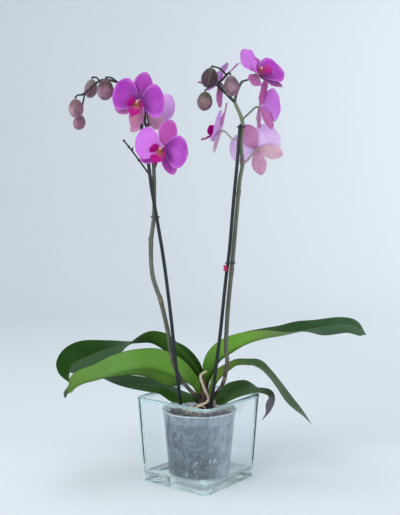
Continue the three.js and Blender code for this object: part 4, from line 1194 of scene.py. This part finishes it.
add_piece("square_vase", [vase_shell()], vase_finish("vase_glass"), "vase_glass", ["glass_vase"], sharp=50)
add_piece("clear_pot", [pot_shell()], pot_finish("pot_plastic"), "clear_plastic", ["nursery_pot"], sharp=50)
add_piece("bark_chips", bark_shells(), finishes["bark"], "bark", ["bark_mix"], sharp=45)
add_piece("pot_roots", pot_root_shells(), finishes["pot_root"], "root")
add_piece("crown_sheaths", [crown_shell()], finishes["crown"], "crown", ["plant_crown"])
for name, leaf in LEAVES.items():
    shape = leaf_shell(leaf["side"], leaf.pop("stations"))
    add_piece(f"strap_{name}", [shape], leaf_finish(f"{name}_skin", **leaf), "leaf", [name])
add_stems()
for name, side, height, tails in (("left", "left", 452, True), ("right_top", "right", 600, True),
                                  ("right_middle", "right", 374.8, False)):
    add_piece(f"twist_tie_{name}", tie_shells(side, height, tails), finishes["tie"], "tie",
              [f"stem_tie_{name}"])
add_piece("spring_clip", clip_shells(367), finishes["clip"], "clip", ["flower_clip"])
add_piece("air_root", [tube(AERIAL_ROOT, knobbly(2.6, 2.2, 2.0), 16, 140)], finishes["root"], "root",
          ["aerial_root"])
tangle = [tube(points, knobbly(1.3, 1.0, k), 10, 50) for k, points in enumerate(ROOT_TANGLE)]
add_piece("root_tangle", tangle, finishes["root"], "root")
for side, points in SURFACE_ROOTS.items():
    add_piece(f"top_root_{side}", [tube(points, knobbly(1.5, 1.4, 4.0), 12, 60)], finishes["root"], "root",
              [f"surface_root_{side}"])
for name, bud in BUDS.items():
    add_piece(f"closed_bud_{name}", [bud_shell(bud)], bud_finish(f"bud_skin_{name}", *bud["skin"]), "bud",
              [f"bud_{name}"])
for name, flower in FLOWERS.items():
    add_flower(name, flower)


# --------------------------------------------------------------- studio, light, camera
def add_sweep():
    """A floor that curves up into a backdrop, as one surface: straight, a quarter
    circle, then straight up."""
    bend = np.radians(np.linspace(0, 90, 24))
    radius, start = 1.2, 1.9
    arc = np.stack([start + radius * np.sin(bend), radius - radius * np.cos(bend)], 1)
    line = np.vstack([[(-4.0, 0.0)], arc, [(start + radius, 5.0)]])
    grid = np.stack(np.broadcast_arrays(np.linspace(-5, 5, 3), line[:, :1], line[:, 1:]), -1)
    n, m = grid.shape[:2]
    first = (np.arange(n - 1)[:, None] * m + np.arange(m - 1)).ravel()
    quads = np.stack([first, first + 1, first + m + 1, first + m], 1)
    mesh = bpy.data.meshes.new("studio_sweep")
    mesh.from_pydata(grid.reshape(-1, 3).tolist(), [], quads.tolist())
    mesh.shade_smooth()
    sweep = bpy.data.objects.new("studio_sweep", mesh)
    bpy.context.collection.objects.link(sweep)
    paper = Finish("sweep_paper", Roughness=0.9, Base_Color="E2E9EE", Specular_IOR_Level=0.1)
    mesh.materials.append(paper.material)


def add_light(name, at, towards, size, power, colour):
    """A round soft lamp: size across in metres, power in watts."""
    data = bpy.data.lights.new(name, "AREA")
    data.shape = "DISK"
    data.size, data.energy, data.color = size, power, rgb(colour)[:3]
    lamp = bpy.data.objects.new(name, data)
    lamp.location = at
    lamp.rotation_euler = (Vector(towards) - Vector(at)).to_track_quat("-Z", "Y").to_euler()
    bpy.context.collection.objects.link(lamp)


add_sweep()
add_light("window_left", (-1.5, -1.9, 1.7), (0, 0, 0.4), 1.7, 39, "FFFFFF")
add_light("fill_right", (1.9, -1.9, 1.1), (0, 0, 0.4), 2.0, 21, "F6F8FF")
add_light("top_soft", (0.1, 0.2, 2.8), (0, 0, 0.3), 2.2, 22, "FAFBFF")
add_light("paper_wash", (2.2, 1.3, 1.4), (1.3, 3.1, 0.6), 1.2, 18, "FFFFFF")

world = bpy.data.worlds.new("studio_air")
bpy.context.scene.world = world
world.use_nodes = True
air = world.node_tree.nodes["Background"].inputs
air["Color"].default_value, air["Strength"].default_value = rgb("EAEFF4"), 0.5
bpy.context.scene.view_settings.view_transform = "Standard"

LENS, SENSOR = 62.14, 36
CAMERA_AT, CAMERA_DOWN = (0.0024, -1.5, 0.503), 4.62
camera = bpy.data.objects.new("camera", bpy.data.cameras.new("camera"))
camera.data.lens, camera.data.sensor_width = LENS, SENSOR
camera.location = CAMERA_AT
camera.rotation_euler = (np.radians(90 - CAMERA_DOWN), 0, 0)
bpy.context.collection.objects.link(camera)
bpy.context.scene.camera = camera
